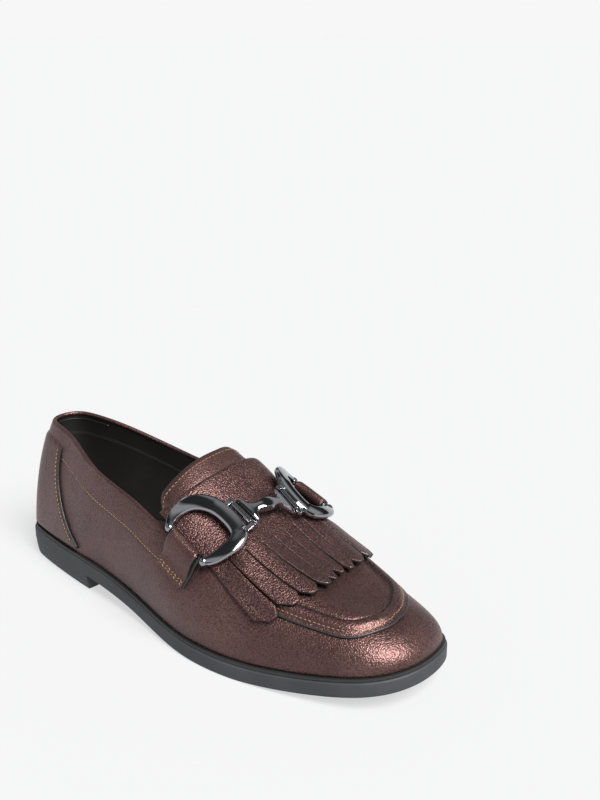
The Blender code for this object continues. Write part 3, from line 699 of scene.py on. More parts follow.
def bandLift(angle, climb):
    # The collar's band above its seam stands a little proud and rounds over at its edge
    below = (bareSkin(angle, collarClimb(angle)) - bareSkin(angle, climb))[..., 2].clip(0)
    inBand = smoothStep((upper["bandDepth"] - below) / upper["bandSlope"])
    seam = np.exp(-(((below - upper["bandDepth"]) / upper["seamWidth"]) ** 2))
    collar = 1 - between(shareAt(angle), *upper["bandFade"])
    return (inBand * upper["bandProud"] - seam * upper["seamDepth"]) * collar


def buildUpper():
    angle, row = gridOf(upperTurn(), np.linspace(0, 1, upper["rows"]))
    climb = collarClimb(angle) * row
    grid = skin(angle, climb, creaseLift(angle, climb) + bandLift(angle, climb))
    sheetPiece("upperLeather", grid, shoe["wall"], ["leather", "lining", "edgePaintAndShade"], "upper", loop=True)
    last, count = angleAt(shoe["throat"]) - upper["edgeEnd"], upper["edgeColumns"]
    inner = np.linspace(2 * pi - last, 2 * pi, count, endpoint=False)
    edge = np.concatenate([inner, np.linspace(0, last, count)])
    path, normals = onSkin(edge, collarClimb(edge), (upper["bandProud"] - shoe["wall"]) / 2)
    tubePiece("collarEdge", path, normals, upper["collarEdge"], "leather")


# The seam under the collar's band
collarSeam = {"start": 0.118, "end": 0.515, "columns": 160, "climbs": 200, "lift": 0.0001}


def collarSeamLine(outerSide):
    turns = angleAt(np.linspace(collarSeam["start"], collarSeam["end"], collarSeam["columns"]))
    turns = turns if outerSide else 2 * pi - turns
    seam = []
    for turn in turns:
        climbs = np.linspace(0, 1, collarSeam["climbs"]) * collarClimb(turn)
        heights = bareSkin(np.full(climbs.shape, turn), climbs)[:, 2]
        seam.append(np.interp(heights[-1] - upper["bandDepth"], heights, climbs))
    return onSkin(turns, np.array(seam), collarSeam["lift"])


# Counter: the raw-edged piece round the heel
counter = {
    "thickness": 0.0010,
    "drop": 0.0022,
    "foot": 0.02,
    "columns": 141,
    "rows": 56,
    "edgeRound": 0.00045,
    "edgeFrom": 0.94,
    "dive": 0.0019,  # how far its top sinks under the collar's band
    "diveFrom": 0.86,
    "bead": 0.00052,
    "beadRun": (0.01, 0.93),
    "stitchIn": 0.0020,
    "stitchRun": (0.05, 0.86),
    "stitchColumns": 120,
    "reach": (0.065, 0.035),  # metres round from the heel to the edge, at the foot and top
}
counterEdge = [(0.00, 0.225), (0.15, 0.192), (0.35, 0.158), (0.60, 0.126), (0.85, 0.110), (1.00, 0.104)]


def counterPlace(across, row):
    angle = across * angleAt(spline(counterEdge, 1, row))
    head = toplineClimb(angle) - counter["drop"] / shoe["backHeight"]
    return angle, counter["foot"] + (head - counter["foot"]) * row


def counterDive(row):
    return counter["dive"] * between(row, counter["diveFrom"], 1)


def buildCounter():
    across, row = gridOf(np.linspace(-1, 1, counter["columns"]), np.linspace(0, 1, counter["rows"]))
    face = shoe["gap"] + counter["thickness"]
    edge = counter["edgeRound"] * between(np.abs(across), counter["edgeFrom"], 1)
    grid = skin(*counterPlace(across, row), face - edge - counterDive(row))
    sheetPiece("counterPiece", grid, counter["thickness"], ["leather", "edgePaintAndShade", "edgePaintAndShade"], "counter")
    rows = []
    foot, top = counter["reach"]
    for side, name in ((1, "counterEdgeOuter"), (-1, "counterEdgeInner")):
        height = np.linspace(*counter["beadRun"], counter["rows"])
        lift = face - counter["thickness"] / 2 - counterDive(height)
        path, normals = onSkin(*counterPlace(side, height), lift)
        tubePiece(name, path, normals, counter["bead"], "edgePaintAndShade")
        height = np.linspace(*counter["stitchRun"], counter["stitchColumns"])
        across = side * (1 - counter["stitchIn"] / (top + (foot - top) * (1 - height)))
        rows.append(onSkin(*counterPlace(across, height), face))
    stitchRows("counterStitches", rows)


# Apron: the plug with its raised rib inside a raw edge
apron = {
    "thickness": 0.0011,
    "rib": 0.0016,
    "back": 0.720,
    "columns": 241,
    "ribRows": 26,
    "restRows": 22,
    "climbs": 121,
    "bead": 0.00062,
    "stitchIn": 0.0021,
    "lineInset": 0.02,  # how far from the back its bead and stitches start, in radians
    "lineColumns": 340,
}
apronEdge = [
    (0.72, 0.42, 0.46),
    (0.80, 0.42, 0.48),
    (0.88, 0.42, 0.50),
    (0.92, 0.43, 0.53),
    (0.96, 0.52, 0.61),
    (1.00, 0.67, 0.67),
]
# The rib's section: metres in from the cut edge, and height as a share of the rib
apronRelief = [
    (0.0000, 0.00),
    (0.0018, 0.22),
    (0.0032, 0.80),
    (0.0046, 1.00),
    (0.0060, 0.92),
    (0.0070, 0.55),
    (0.0078, -0.12),
    (0.0088, 0.00),
]


def apronLine(angle, inwards):
    # Climbs of points so far in from the cut edge over the leather, and the whole run
    climbs = np.linspace(float(bySide(apronEdge, np.array(angle))), 1, apron["climbs"])
    run = runOf(bareSkin(np.full(climbs.shape, angle), climbs))
    return np.interp(inwards, run, climbs), run[-1]


def apronPath(inwards):
    # Angles and climbs of a line round the plug, so far in from its cut edge
    start = angleAt(apron["back"]) + apron["lineInset"]
    angles = np.linspace(start, 2 * pi - start, apron["lineColumns"])
    return angles, np.array([apronLine(angle, inwards)[0] for angle in angles])


def apronFace(inwards):
    return shoe["gap"] + apron["thickness"] + spline(apronRelief, 1, inwards) * apron["rib"]


def buildApron():
    start = angleAt(apron["back"])
    ribRows = np.linspace(0, apronRelief[-1][0], apron["ribRows"])
    grid = []
    for angle in np.linspace(start, 2 * pi - start, apron["columns"]):
        _, whole = apronLine(angle, 0)
        inwards = np.concatenate([ribRows, np.linspace(ribRows[-1], whole, apron["restRows"])[1:]])
        climb, _ = apronLine(angle, inwards)
        grid.append(skin(np.full(climb.shape, angle), climb, apronFace(inwards)))
    sheetPiece("apronPlug", np.array(grid), apron["thickness"], ["leather", "leather", "edgePaintAndShade"], "apron")
    path, normals = onSkin(*apronPath(0), shoe["gap"] + apron["thickness"] / 2)
    tubePiece("apronBead", path, normals, apron["bead"], "edgePaintAndShade")
    row = onSkin(*apronPath(apron["stitchIn"]), apronFace(apron["stitchIn"]))
    stitchRows("apronStitches", [row])


# Needle holes where the rib drops to the plug: shallow cups whose black is painted shade standing in for the
# holes' depth
pinholes = {
    "inwards": 0.0070,
    "space": 0.0025,
    "radius": 0.00085,
    "floor": 0.75,  # the hole's inner ring, as a share of its radius
    "depth": 0.00012,
    "rim": 0.00006,
    "proud": 0.00003,
    "tilt": 0.8,
    "sides": 10,
}


def buildPinholes():
    angles, climbs = apronPath(pinholes["inwards"])
    path, normals = onSkin(angles, climbs, apronFace(pinholes["inwards"]) + pinholes["proud"])
    uphill = unit(skin(angles, climbs + 0.01) - skin(angles, climbs))
    tilt = unit(normals + uphill * pinholes["tilt"])
    run = runOf(path)
    count, sides = int(run[-1] / pinholes["space"]), pinholes["sides"]
    spots = pointsAt(np.linspace(0, run[-1], count), run, path)
    nearest = np.rint(np.linspace(0, len(path) - 1, count)).astype(int)
    points, faces = [], []
    for spot, normal in zip(spots, tilt[nearest]):
        ahead = unit(np.cross(normal, [0.3, 0.2, 0.9]))
        sideways = np.cross(normal, ahead)
        first = len(points)
        for size, drop in ((1.0, 0.0), (pinholes["floor"], pinholes["depth"])):
            for turn in circle(sides):
                offset = (ahead * math.cos(turn) + sideways * math.sin(turn)) * pinholes["radius"] * size
                points.append(spot + offset + normal * (pinholes["rim"] - drop))
        faces += bandFaces(sides, first, first + sides)
        faces.append(tuple(range(first, first + sides)))
        faces.append(tuple(range(first + sides, first + 2 * sides))[::-1])
    # The black edge paint on these cups is painted shade, not a colour of the leather
    mesh = meshFrom("apronPinholes", points, faces, outward=False)
    finishPiece("apronPinholes", mesh, ["edgePaintAndShade"], None)


# Tongue: arched behind the fringe, with a stitched edge
tongue = {
    "thickness": 0.0013,
    "width": 0.0850,
    "back": 0.492,
    "front": 0.630,
    "bow": 0.022,
    "corner": 0.034,
    "crown": 0.0027,
    "sink": 0.0009,
    "stands": (0.515, 0.560),  # shares along over which it stands off the vamp
    "free": (0.031, 0.040),  # metres across over which it meets the quarters
    "edgeRound": 0.0005,
    "edgeDepth": 0.0016,
    "columns": 121,
    "rows": 56,
    "stitchIn": 0.0021,
    "stitchSpan": 0.90,
    "stitchColumns": 260,
}


def tongueBack(side):
    return tongue["back"] - tongue["bow"] * side**2 + tongue["corner"] * side**12


def tongueLift(along, across):
    open = (1 - between(along, *tongue["stands"])) * (1 - between(np.abs(across), *tongue["free"]))
    return -shoe["wall"] - tongue["sink"] + tongue["crown"] * open


def buildTongue():
    half = tongue["width"] / 2
    side, row = gridOf(np.linspace(1, -1, tongue["columns"]), np.linspace(0, 1, tongue["rows"]))
    back = tongueBack(side)
    along = back + (tongue["front"] - back) * row
    edge = tongue["edgeRound"] * smoothStep(1 - (along - back) * shoe["length"] / tongue["edgeDepth"])
    grid = saddle(along, side * half, tongueLift(along, side * half) - edge)
    sheetPiece("tonguePiece", grid, tongue["thickness"], ["strap", "lining", "edgePaintAndShade"], "tongue")
    side = np.linspace(tongue["stitchSpan"], -tongue["stitchSpan"], tongue["stitchColumns"])
    side = side * (1 - tongue["stitchIn"] / half * np.abs(side) ** 8)
    along = tongueBack(side) + tongue["stitchIn"] / shoe["length"]
    stitchRows("tongueStitches", [onSaddle(along, side * half, tongueLift(along, side * half))])


# Kiltie: the fringed flap with its folded back edge
kiltie = {
    "thickness": 0.0011,
    "thick": 0.0014,  # with the black paint on its cut edges, made thicker than the leather so that the black rim also carries a band of painted shadow
    "back": 0.536,
    "backBow": 0.032,
    "front": 0.786,
    "frontBow": 0.100,
    "width": 0.0770,
    "fringeWidth": 0.0900,
    "flareFrom": 0.46,
    "roll": 0.0017,
    "hem": 0.0100,
    "settled": 0.30,
    "onTongue": 0.25,
    "climbs": (0.580, 0.635),  # shares along over which it climbs onto the apron
    "climbBow": 0.035,
    "overRim": (0.80, 0.94),
    "rimClearance": 1.15,
    "flapStart": 0.012,
    "slitStart": 0.52,
    "strips": 10,
    "stripGap": 0.0004,
    "stripSpread": 0.0006,
    "stripPoint": 0.0028,
    "pointFrom": 0.86,
    "chamfer": 0.0036,
    "blunt": 0.34,
    "cup": 0.00028,
    "raise": 0.00022,
    "sway": (2.4, 0.6),
    "across": 13,
    "hemRows": 8,
    "rollRows": 14,
    "flapRows": 34,
    "fringeRows": 46,
}


def kiltiePlace(across, run):
    back = kiltie["back"] - kiltie["backBow"] * across**2
    front = kiltie["front"] - kiltie["frontBow"] * np.abs(across) ** 1.5
    flare = np.clip((run - kiltie["flareFrom"]) / (1 - kiltie["flareFrom"]), 0, 1) * across**2
    half = (kiltie["width"] + (kiltie["fringeWidth"] - kiltie["width"]) * flare) / 2
    return back + (front - back) * run, across * half


def kiltieLift(across, run):
    gap = shoe["gap"]
    overTongue = tongue["crown"] - shoe["wall"] - tongue["sink"] + gap
    overVamp = 3 * gap
    inside = 1 - between(np.abs(across), *kiltie["overRim"])
    overApron = 4 * gap + apron["thickness"] + apron["rib"] * kiltie["rimClearance"] * inside
    near = smoothStep(run / kiltie["onTongue"])
    along, _ = kiltiePlace(across, run)
    far = between(along - kiltie["climbBow"] * across**2, *kiltie["climbs"])
    return overTongue + (overVamp - overTongue) * near + (overApron - overVamp) * far


def stripCurl(strip, run, side):
    # Each strip cups a little across its width and lifts towards its end
    pace, start = kiltie["sway"]
    sway = 1 + math.sin(strip * pace + start)
    return between(run, kiltie["slitStart"], 1) * (kiltie["cup"] * (1 - side**2) + kiltie["raise"] * sway)


def buildKiltie():
    pitch, start, roll = 2 / kiltie["strips"], kiltie["slitStart"], kiltie["roll"]
    rolled = np.linspace(pi, 2 * pi, kiltie["rollRows"])
    hem = np.linspace(kiltie["hem"], 0, kiltie["hemRows"], endpoint=False)
    runs = np.concatenate(
        [
            np.linspace(kiltie["flapStart"], start, kiltie["flapRows"]),
            np.linspace(start, 1, kiltie["fringeRows"])[1:],
        ]
    )
    backwards = np.concatenate([hem, -roll * np.abs(np.sin(rolled))]) / shoe["length"]
    upwards = np.concatenate([0 * hem, roll * (1 + np.cos(rolled))])
    settle = (2 * roll - kiltie["thickness"]) * (1 - smoothStep(runs / kiltie["settled"]))
    cut = kiltie["stripGap"] + kiltie["stripSpread"] * np.maximum(runs - start, 0)
    cut = np.where(runs > start, cut / kiltie["width"], 0)
    pointed = np.clip((runs - kiltie["pointFrom"]) / (1 - kiltie["pointFrom"]), 0, 1)
    along, across, lift = [], [], []
    for strip in range(kiltie["strips"]):
        middle = 1 - pitch * (strip + 0.5)
        for side in np.linspace(1, -1, kiltie["across"]):
            base = middle + side * pitch / 2
            backAlong, backAcross = kiltiePlace(base, 0.0)
            place = middle + side * (pitch / 2 - cut)
            runAlong, runAcross = kiltiePlace(place, runs)
            chamfer = kiltie["chamfer"] * max(abs(side) - kiltie["blunt"], 0) / (1 - kiltie["blunt"])
            runAlong = runAlong + (kiltie["stripPoint"] - chamfer) / shoe["length"] * pointed
            runLift = kiltieLift(place, runs) + kiltie["thickness"] + settle + stripCurl(strip, runs, side)
            along.append(np.concatenate([backAlong + backwards, runAlong]))
            across.append(np.concatenate([np.full(backwards.shape, backAcross), runAcross]))
            lift.append(np.concatenate([kiltieLift(base, 0.0) + upwards, runLift]))
    points = saddle(np.array(along), np.array(across), np.array(lift))
    skip = np.zeros((points.shape[0] - 1, points.shape[1] - 1), bool)
    skip[kiltie["across"] - 1 :: kiltie["across"], len(backwards) + kiltie["flapRows"] - 1 :] = True
    # The fringe's black rims are edge paint widened by painted shadow
    slots = ["grained", "edgePaintAndShade", "edgePaintAndShade"]
    sheetPiece("kiltieFringe", points, kiltie["thick"], slots, "kiltie", skip=skip)


# Tabs: straps from the collar band, each rolled over a ring's pin
tab = {
    "thickness": 0.0010,
    "length": 0.0170,
    "width": 0.0146,
    "slack": 0.0005,
    "slant": 0.018,
    "underReach": 0.60,
    "overReach": 0.72,
    "edgeRound": 0.0003,
    "edgeFrom": 0.9,
    "columns": 26,
    "rows": 22,
    "seenRows": 34,
    "zigzag": (0.0020, 0.0034),
    "stitchLean": 0.7,
    "stitchSpan": 0.93,
    "stitchColumns": 60,
}
pin = {"radius": 0.0011, "length": 0.0168}
# How each ring is held: shares along the shoe, metres across from its middle, and lifts
holds = {
    "Outer": {"side": -1, "pin": (0.560, 0.0405, 0.0054), "hinge": (0.6035, 0.0152, 0.0095)},
    "Inner": {"side": 1, "pin": (0.590, 0.0360, 0.0080), "hinge": (0.6280, 0.0105, 0.0110)},
}


def tabTop():
    return shoe["gap"] + 2 * tab["thickness"] + tab["slack"]


def tabProfile(hold):
    # Across and lift of the outer face, from the hidden end round the pin to the sewn end
    turn = pin["radius"] + tab["slack"] + tab["thickness"]
    _, across, centre = hold["pin"]
    low, top = shoe["gap"], tabTop()
    step = np.linspace(1, 0, tab["rows"])
    hidden = low + (centre - turn - low) * (1 - smoothStep(step / tab["underReach"]))
    under = np.stack([across + tab["length"] * step, hidden], -1)
    angle = np.linspace(-pi / 2, pi / 2, tab["rows"])[1:]
    roll = np.stack([across - turn * np.cos(angle), centre + turn * np.sin(angle)], -1)
    step = np.linspace(0, 1, tab["seenRows"])[1:]
    seen = top + (centre + turn - top) * (1 - smoothStep(step / tab["overReach"]))
    return np.concatenate([under, roll, np.stack([across + tab["length"] * step, seen], -1)])


def tabAlong(hold, place, down):
    # Share along the shoe of a place across the tab, so far down its length
    spread = (shoe["toePole"] - shoe["heelPole"]) ** 0.5
    return hold["pin"][0] - place * tab["width"] / 2 * spread / shoe["length"] - tab["slant"] * down


def buildTab(sideName):
    hold = holds[sideName]
    side, pinAcross = hold["side"], hold["pin"][1]
    across, lift = tabProfile(hold).T
    place = np.linspace(side, -side, tab["columns"])[:, None]
    along = tabAlong(hold, place, np.clip((across - pinAcross) / tab["length"], 0, 1))
    edge = tab["edgeRound"] * between(np.abs(place), tab["edgeFrom"], 1)
    grid = saddle(along, side * across, lift - edge)
    slots = ["strap", "edgePaintAndShade", "edgePaintAndShade"]
    sheetPiece("tab" + sideName, grid, tab["thickness"], slots, "tab_" + sideName.lower())
    place = np.linspace(tab["stitchSpan"], -tab["stitchSpan"], tab["stitchColumns"])
    rows = []
    for back in tab["zigzag"]:
        along = tabAlong(hold, place, 1 - back / tab["length"])
        rows.append(onSaddle(along, side * (pinAcross + tab["length"] - back), tabTop()))
    stitchRows("tabStitches" + sideName, rows, lean=tab["stitchLean"])


# Sole unit, midsole strip and insole
def platePiece(name, levels, finish, replaced, front=1.0, count=150):
    # A solid between the shoe's two sides, from its back, through rings at several levels
    angles = np.linspace(0, angleAt(front), count)
    other = 2 * pi - angles[-1 if front < 1 else -2 : 0 : -1]
    turn = np.concatenate([angles, other])
    size = len(turn)
    points, faces = [], []
    for setback, height in levels:
        plan = edgePoint(turn, setback)
        points.append(np.column_stack([plan, height(shareOf(plan[:, 1])) + 0 * turn]))
    for n in range(len(levels) - 1):
        faces += bandFaces(size, n * size, (n + 1) * size)
    inner = [0] + list(range(count, size))[::-1] + [count - 1]
    for base in (0, (len(levels) - 1) * size):
        for i in range(count - 1):
            ring = dict.fromkeys([i, i + 1, inner[i + 1], inner[i]])
            faces.append(tuple(base + n for n in ring))
    mesh = meshFrom(name, np.concatenate(points), faces)
    finishPiece(name, mesh, [finish], replaced)
    mesh.set_sharp_from_angle(angle=math.radians(50))


def roundedLevels(low, high, radius, steps=4):
    # A side wall with rounded bottom and top corners
    levels = []
    for n in range(steps + 1):
        turn = n / steps * pi / 2
        levels.append((radius * (1 - math.sin(turn)), lambda s, c=math.cos(turn): low(s) + radius * (1 - c)))
    for n in range(steps + 1):
        turn = n / steps * pi / 2
        levels.append((radius * (1 - math.cos(turn)), lambda s, c=math.sin(turn): high(s) - radius * (1 - c)))
    return levels


sole = {
    "heelRounding": 0.0005,
    "heelInset": 0.0001,
    "heelColumns": 60,
    "insoleColumns": 110,
    "gasketInset": 0.0004,
    "gasketRise": 0.0006,
}


def buildSole():
    outsole = roundedLevels(soleUnder, soleTop, shoe["soleRounding"])
    platePiece("outsoleUnit", outsole, "soleRubber", "outsole")
    taper, corner = shoe["heelTaper"], sole["heelRounding"]
    heel = [
        (taper + corner, lambda s: 0 * s),
        (taper, lambda s: 0 * s + corner),
        (taper / 2, lambda s: soleUnder(s) / 2),
        (sole["heelInset"], lambda s: soleUnder(s) + shoe["soleRounding"]),
    ]
    front = shoe["heelLength"] / shoe["length"]
    platePiece("heelBlock", heel, "soleRubber", "heel", front, sole["heelColumns"])
    setback = shoe["midsoleSetback"]
    strip = [(setback, lambda s: soleTop(s) + shoe["gap"]), (setback, midsoleTop)]
    platePiece("midsoleStrip", strip, "midsoleRubber", "midsole")
    inside = shoe["upperSetback"] + shoe["wall"] + shoe["insoleFit"]
    thick = shoe["insoleThickness"]
    pad = [
        (inside, upperFoot),
        (inside, lambda s: upperFoot(s) + thick * 0.55),
        (inside + thick * 0.15, lambda s: upperFoot(s) + thick * 0.85),
        (inside + thick * 0.5, lambda s: upperFoot(s) + thick),
    ]
    platePiece("insolePad", pad, "lining", "insole", count=sole["insoleColumns"])
    # A gasket closes the slit that the solids keep between midsole and upper
    behind = shoe["upperSetback"] + sole["gasketInset"]
    gasket = [
        (behind, lambda s: soleTop(s) + shoe["gap"] * 0.2),
        (behind, lambda s: upperFoot(s) + sole["gasketRise"]),
    ]
    platePiece("feltGasket", gasket, "midsoleRubber", None)


# Snaffle: two bowed rings hinged to a necked bar
snaffle = {
    "arch": 0.0025,
    "length": 0.0298,
    "band": 0.0078,
    "tip": 0.46,
    "turn": 130,
    "square": 0.8,
    "thickness": 0.0030,
    "twisted": 0.75,
    "hingeRadius": 0.0013,
    "hingeLength": 0.0120,
    "lugLength": 0.0026,
    "lugReach": 0.0032,
    "lugRound": 1.12,  # the lug's round end, against the hinge's radius
    "lugTall": 1.7,
    "lugWide": 0.9,
    "barArch": 0.0020,
    "barClearance": 0.0009,
    "tipBall": 0.0022,
    "bevel": 0.00022,
    "pinBevel": 0.0002,
}


def ringPlane(hold):
    side = hold["side"]
    reach = pin["length"] / 2 / shoe["length"]
    ends = []
    for along, across, lift in (hold["pin"], hold["hinge"]):
        toeEnd = saddle(along + reach, side * across, lift)
        heelEnd = saddle(along - reach, side * across, lift)
        ends.append((saddle(along, side * across, lift), unit(toeEnd - heelEnd)))
    (foot, footAhead), (hinge, hingeAhead) = ends
    rise = hinge - foot
    ahead = unit(footAhead + hingeAhead)
    slant = rise @ ahead
    rise = rise - ahead * slant
    return {
        "pin": foot,
        "rise": unit(rise),
        "out": unit(np.cross(rise, ahead)) * side,
        "ahead": footAhead,
        "turn": hingeAhead - footAhead,
        "width": float(np.linalg.norm(rise)),
        "slant": float(slant),
    }


def ringAhead(plane, share):
    return unit(plane["ahead"] + plane["turn"] * min(share / snaffle["twisted"], 1))


def onRing(plane, rise, ahead):
    share = min(max(rise / plane["width"], 0), 1)
    bow = snaffle["arch"] * math.sin(pi * share)
    slanted = unit(plane["ahead"] + plane["turn"] / 2) * plane["slant"] * share**2
    middle = plane["pin"] + plane["rise"] * rise + slanted
    return middle + ringAhead(plane, share) * ahead + plane["out"] * bow


def ringFrame(plane, rise, ahead):
    step = plane["width"] / 50
    low = max(rise - step, 0)
    toe = ringAhead(plane, min(max(rise / plane["width"], 0), 1))
    up = onRing(plane, low + step, ahead) - onRing(plane, low, ahead)
    up = unit(up - toe * (up @ toe))
    out = np.cross(up, toe)
    out *= math.copysign(1, out @ plane["out"])
    return onRing(plane, rise, ahead), up, toe, out


# Half section of the polished bars: across and up, as shares of half width and height
barSection = [
    (0.00, -1.00),
    (0.72, -1.00),
    (1.00, -0.55),
    (1.00, 0.20),
    (0.78, 0.82),
    (0.40, 0.97),
    (0.00, 1.00),
]


def barRing(centre, wide, tall, halfWidth, halfHeight):
    half = barSection[1:-1]
    outline = half + [(-a, b) for a, b in half[::-1]]
    return np.array([centre + wide * halfWidth * a + tall * halfHeight * b for a, b in outline])


def signedPower(value, power):
    return np.sign(value) * np.abs(value) ** power


def ringPath(width, count=121):
    # The horseshoe's middle line in its plane, from one tip to the other
    last = math.radians(snaffle["turn"])
    top = width - snaffle["hingeRadius"] - shoe["gap"] - snaffle["band"] / 2
    size = (top - pin["radius"]) / (1 - signedPower(math.cos(last), snaffle["square"]))
    angles = np.linspace(-last, last, count)
    rise = top - size + size * signedPower(np.cos(angles), snaffle["square"])
    return np.stack([rise, signedPower(np.sin(angles), snaffle["square"]) * snaffle["length"] / 2], -1)


def polishedPiece(name, mesh, replaced, bevel):
    made = finishPiece(name, mesh, ["metal"], replaced)
    mesh.set_sharp_from_angle(angle=math.radians(30))
    edge = made.modifiers.new("edge", "BEVEL")
    edge.width = bevel
    edge.segments = 2
    edge.limit_method = "ANGLE"
    edge.angle_limit = math.radians(28)
    edge.harden_normals = True


def addBlock(bm, centre, axes, sizes):
    made = bmesh.ops.create_cube(bm, size=1)["verts"]
    turned = Matrix([list(axis) for axis in axes]).transposed().to_4x4()
    place = Matrix.Translation(Vector(centre)) @ turned @ Matrix.Diagonal((*sizes, 1))
    bmesh.ops.transform(bm, matrix=place, verts=made)


def addRod(bm, middle, direction, radius, length):
    made = bmesh.ops.create_cone(
        bm, cap_ends=True, segments=32, radius1=radius, radius2=radius, depth=length
    )["verts"]
    turned = Vector(direction).to_track_quat("Z", "X").to_matrix().to_4x4()
    bmesh.ops.transform(bm, matrix=Matrix.Translation(Vector(middle)) @ turned, verts=made)


def addBall(bm, centre, radius):
    made = bmesh.ops.create_uvsphere(bm, u_segments=28, v_segments=18, radius=radius)["verts"]
    bmesh.ops.translate(bm, verts=made, vec=Vector(centre))


def rodPiece(name, middle, direction, radius, length, replaced):
    bm = bmesh.new()
    addRod(bm, middle, direction, radius, length)
    mesh = bpy.data.meshes.new(name)
    bm.to_mesh(mesh)
    bm.free()
    polishedPiece(name, mesh, replaced, snaffle["pinBevel"])


def buildRing(sideName):
    plane = ringPlane(holds[sideName])
    places = ringPath(plane["width"])
    path = np.array([onRing(plane, *place) for place in places])
    rings = []
    for place, share, along in zip(places, np.linspace(-1, 1, len(places)), np.gradient(path, axis=0)):
        centre, _, _, out = ringFrame(plane, *place)
        wide = unit(np.cross(out, along))
        band = snaffle["band"] * (1 - (1 - snaffle["tip"]) * abs(share) ** 3)
        rings.append(barRing(centre, wide, out, band / 2, snaffle["thickness"] / 2))
    mesh = loftMesh("ring" + sideName, rings)
    hinge, up, toe, out = ringFrame(plane, plane["width"], 0)
    radius, length = snaffle["hingeRadius"], snaffle["lugLength"]
    reach = snaffle["lugReach"] + radius * 2
    lug = (reach - radius, length * snaffle["lugWide"], radius * snaffle["lugTall"])
    bm = bmesh.new()
    bm.from_mesh(mesh)
    for end in (-1, 1):
        centre = hinge + up * (radius - reach / 2)
        centre = centre + toe * end * (snaffle["hingeLength"] + length + 2 * shoe["gap"]) / 2
        addBlock(bm, centre - up * radius / 2, (up, toe, out), lug)
        addRod(bm, centre + up * (reach / 2 - radius), toe, radius * snaffle["lugRound"], length)
    for tip in (path[0], path[-1]):
        addBall(bm, tip, snaffle["tipBall"])
    bm.to_mesh(mesh)
    bm.free()
    node = sideName.lower()
    polishedPiece("ring" + sideName, mesh, "ring_" + node, snaffle["bevel"])
    middle, ahead = plane["pin"], plane["ahead"]
    rodPiece("tabPin" + sideName, middle, ahead, pin["radius"], pin["length"], "tab_pin_" + node)
    rodPiece("hingePin" + sideName, hinge, toe, radius, snaffle["hingeLength"], "hinge_pin_" + node)
    return hinge, toe


# The bar from one end to its middle: shares of its half span, hinge length, thickness
barShape = [
    (0.00, 0.56, 1.45),
    (0.20, 0.51, 1.40),
    (0.40, 0.42, 1.30),
    (0.58, 0.46, 1.20),
    (0.72, 0.72, 1.12),
    (0.84, 1.10, 1.10),
    (0.94, 1.26, 1.00),
    (1.00, 1.16, 0.80),
]


def buildBar(outer, inner):
    (outerHinge, outerToe), (innerHinge, innerToe) = outer, inner
    across = innerHinge - outerHinge
    half = float(np.linalg.norm(across)) / 2 - snaffle["hingeRadius"] - snaffle["barClearance"]
    across = unit(across)
    middle = (innerHinge + outerHinge) / 2
    rings = []
    for place in np.linspace(-1, 1, 81):
        length = float(spline(barShape, 1, abs(place))) * snaffle["hingeLength"] / 2
        height = float(spline(barShape, 2, abs(place))) * snaffle["thickness"] / 2
        ahead = unit(outerToe * (1 - place) + innerToe * (1 + place))
        up = unit(np.cross(ahead, across))
        up *= math.copysign(1, up[2])
        centre = middle + across * half * place + up * snaffle["barArch"] * math.cos(place * pi / 2)
        rings.append(barRing(centre, ahead, up, length, height))
    polishedPiece("bitBar", loftMesh("bitBar", rings), "bit_bar", snaffle["bevel"])


# Floor, light and camera
studio = {
    "floor": (0.136, 0.140, 0.147),
    "floorGlow": 0.61,
    "floorSize": 60.0,
    "sky": [
        (0.00, 0.93),
        (0.18, 0.93),
        (0.22, 0.04),
        (0.40, 0.04),
        (0.50, 0.70),
        (0.64, 0.70),
        (0.73, 0.06),
        (0.95, 0.06),
        (0.98, 0.50),
    ],
    "sun": {"from": (-0.20, -0.62, 0.76), "spread": 33.0, "power": 8.4, "tint": (1.0, 0.97, 0.93)},
}
cameraFit = {
    "location": (-0.3551, -0.3657, 0.2738),
    "right": (0.6574, -0.7535, 0.0),
    "up": (0.2340, 0.2042, 0.9506),
    "back": (-0.7163, -0.6249, 0.3105),
    "lens": 51.44,
    "sensor": 36.0,
}


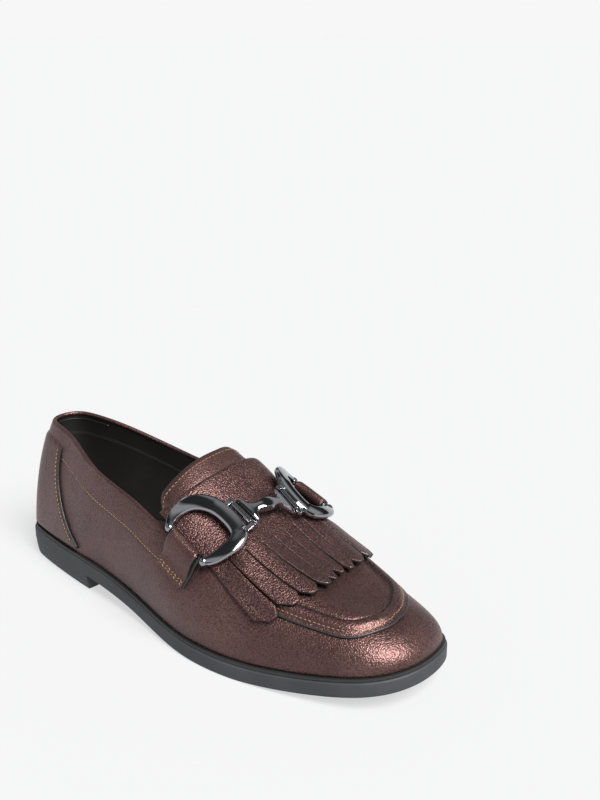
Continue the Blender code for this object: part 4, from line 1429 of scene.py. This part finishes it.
def buildStudio():
    floor = bpy.data.meshes.new("floor")
    half = studio["floorSize"] / 2
    corners = [(-half, -half, 0), (half, -half, 0), (half, half, 0), (-half, half, 0)]
    floor.from_pydata(corners, [], [(0, 1, 2, 3)])
    made, _, shader = newMaterial("floorPaper")
    shader.inputs["Base Color"].default_value = (*studio["floor"], 1)
    shader.inputs["Roughness"].default_value = 0.75
    shader.inputs["Specular IOR Level"].default_value = 0.0
    shader.inputs["Emission Color"].default_value = (1, 1, 1, 1)
    shader.inputs["Emission Strength"].default_value = studio["floorGlow"]
    floor.materials.append(made)
    sheet = bpy.data.objects.new("floor", floor)
    scene.collection.objects.link(sheet)
    world = bpy.data.worlds.new("studio")
    scene.world = world
    world.use_nodes = True
    tree = world.node_tree
    background = tree.nodes["Background"]
    place = addNode(tree, "ShaderNodeTexCoord")
    split = addNode(tree, "ShaderNodeSeparateXYZ")
    tree.links.new(place.outputs["Generated"], split.inputs[0])
    sky = colourRamp(tree, split.outputs["Z"], [(z, (level, level, level)) for z, level in studio["sky"]])
    tree.links.new(sky, background.inputs["Color"])
    sun = studio["sun"]
    data = bpy.data.lights.new("frontSun", "SUN")
    data.angle = math.radians(sun["spread"])
    data.energy = sun["power"]
    data.color = sun["tint"]
    light = bpy.data.objects.new("frontSun", data)
    light.rotation_euler = Vector(sun["from"]).to_track_quat("Z", "Y").to_euler()
    scene.collection.objects.link(light)
    scene.view_settings.view_transform = "Standard"


def buildCamera():
    lens = bpy.data.cameras.new("camera")
    lens.sensor_fit = "VERTICAL"
    lens.sensor_height = cameraFit["sensor"]
    lens.lens = cameraFit["lens"]
    lens.clip_start = 0.01
    camera = bpy.data.objects.new("camera", lens)
    axes = Matrix([cameraFit["right"], cameraFit["up"], cameraFit["back"]]).transposed().to_4x4()
    camera.matrix_world = Matrix.Translation(Vector(cameraFit["location"])) @ axes
    scene.collection.objects.link(camera)
    scene.camera = camera


buildCamera()
buildStudio()
buildSole()
print("sole made")
buildUpper()
stitchRows("collarStitches", [collarSeamLine(True), collarSeamLine(False)])
buildCounter()
buildApron()
buildPinholes()
buildTongue()
print("upper pieces made")
buildKiltie()
for sideName in holds:
    buildTab(sideName)
print("fringe and tabs made")
buildBar(*[buildRing(sideName) for sideName in holds])
print("snaffle made")
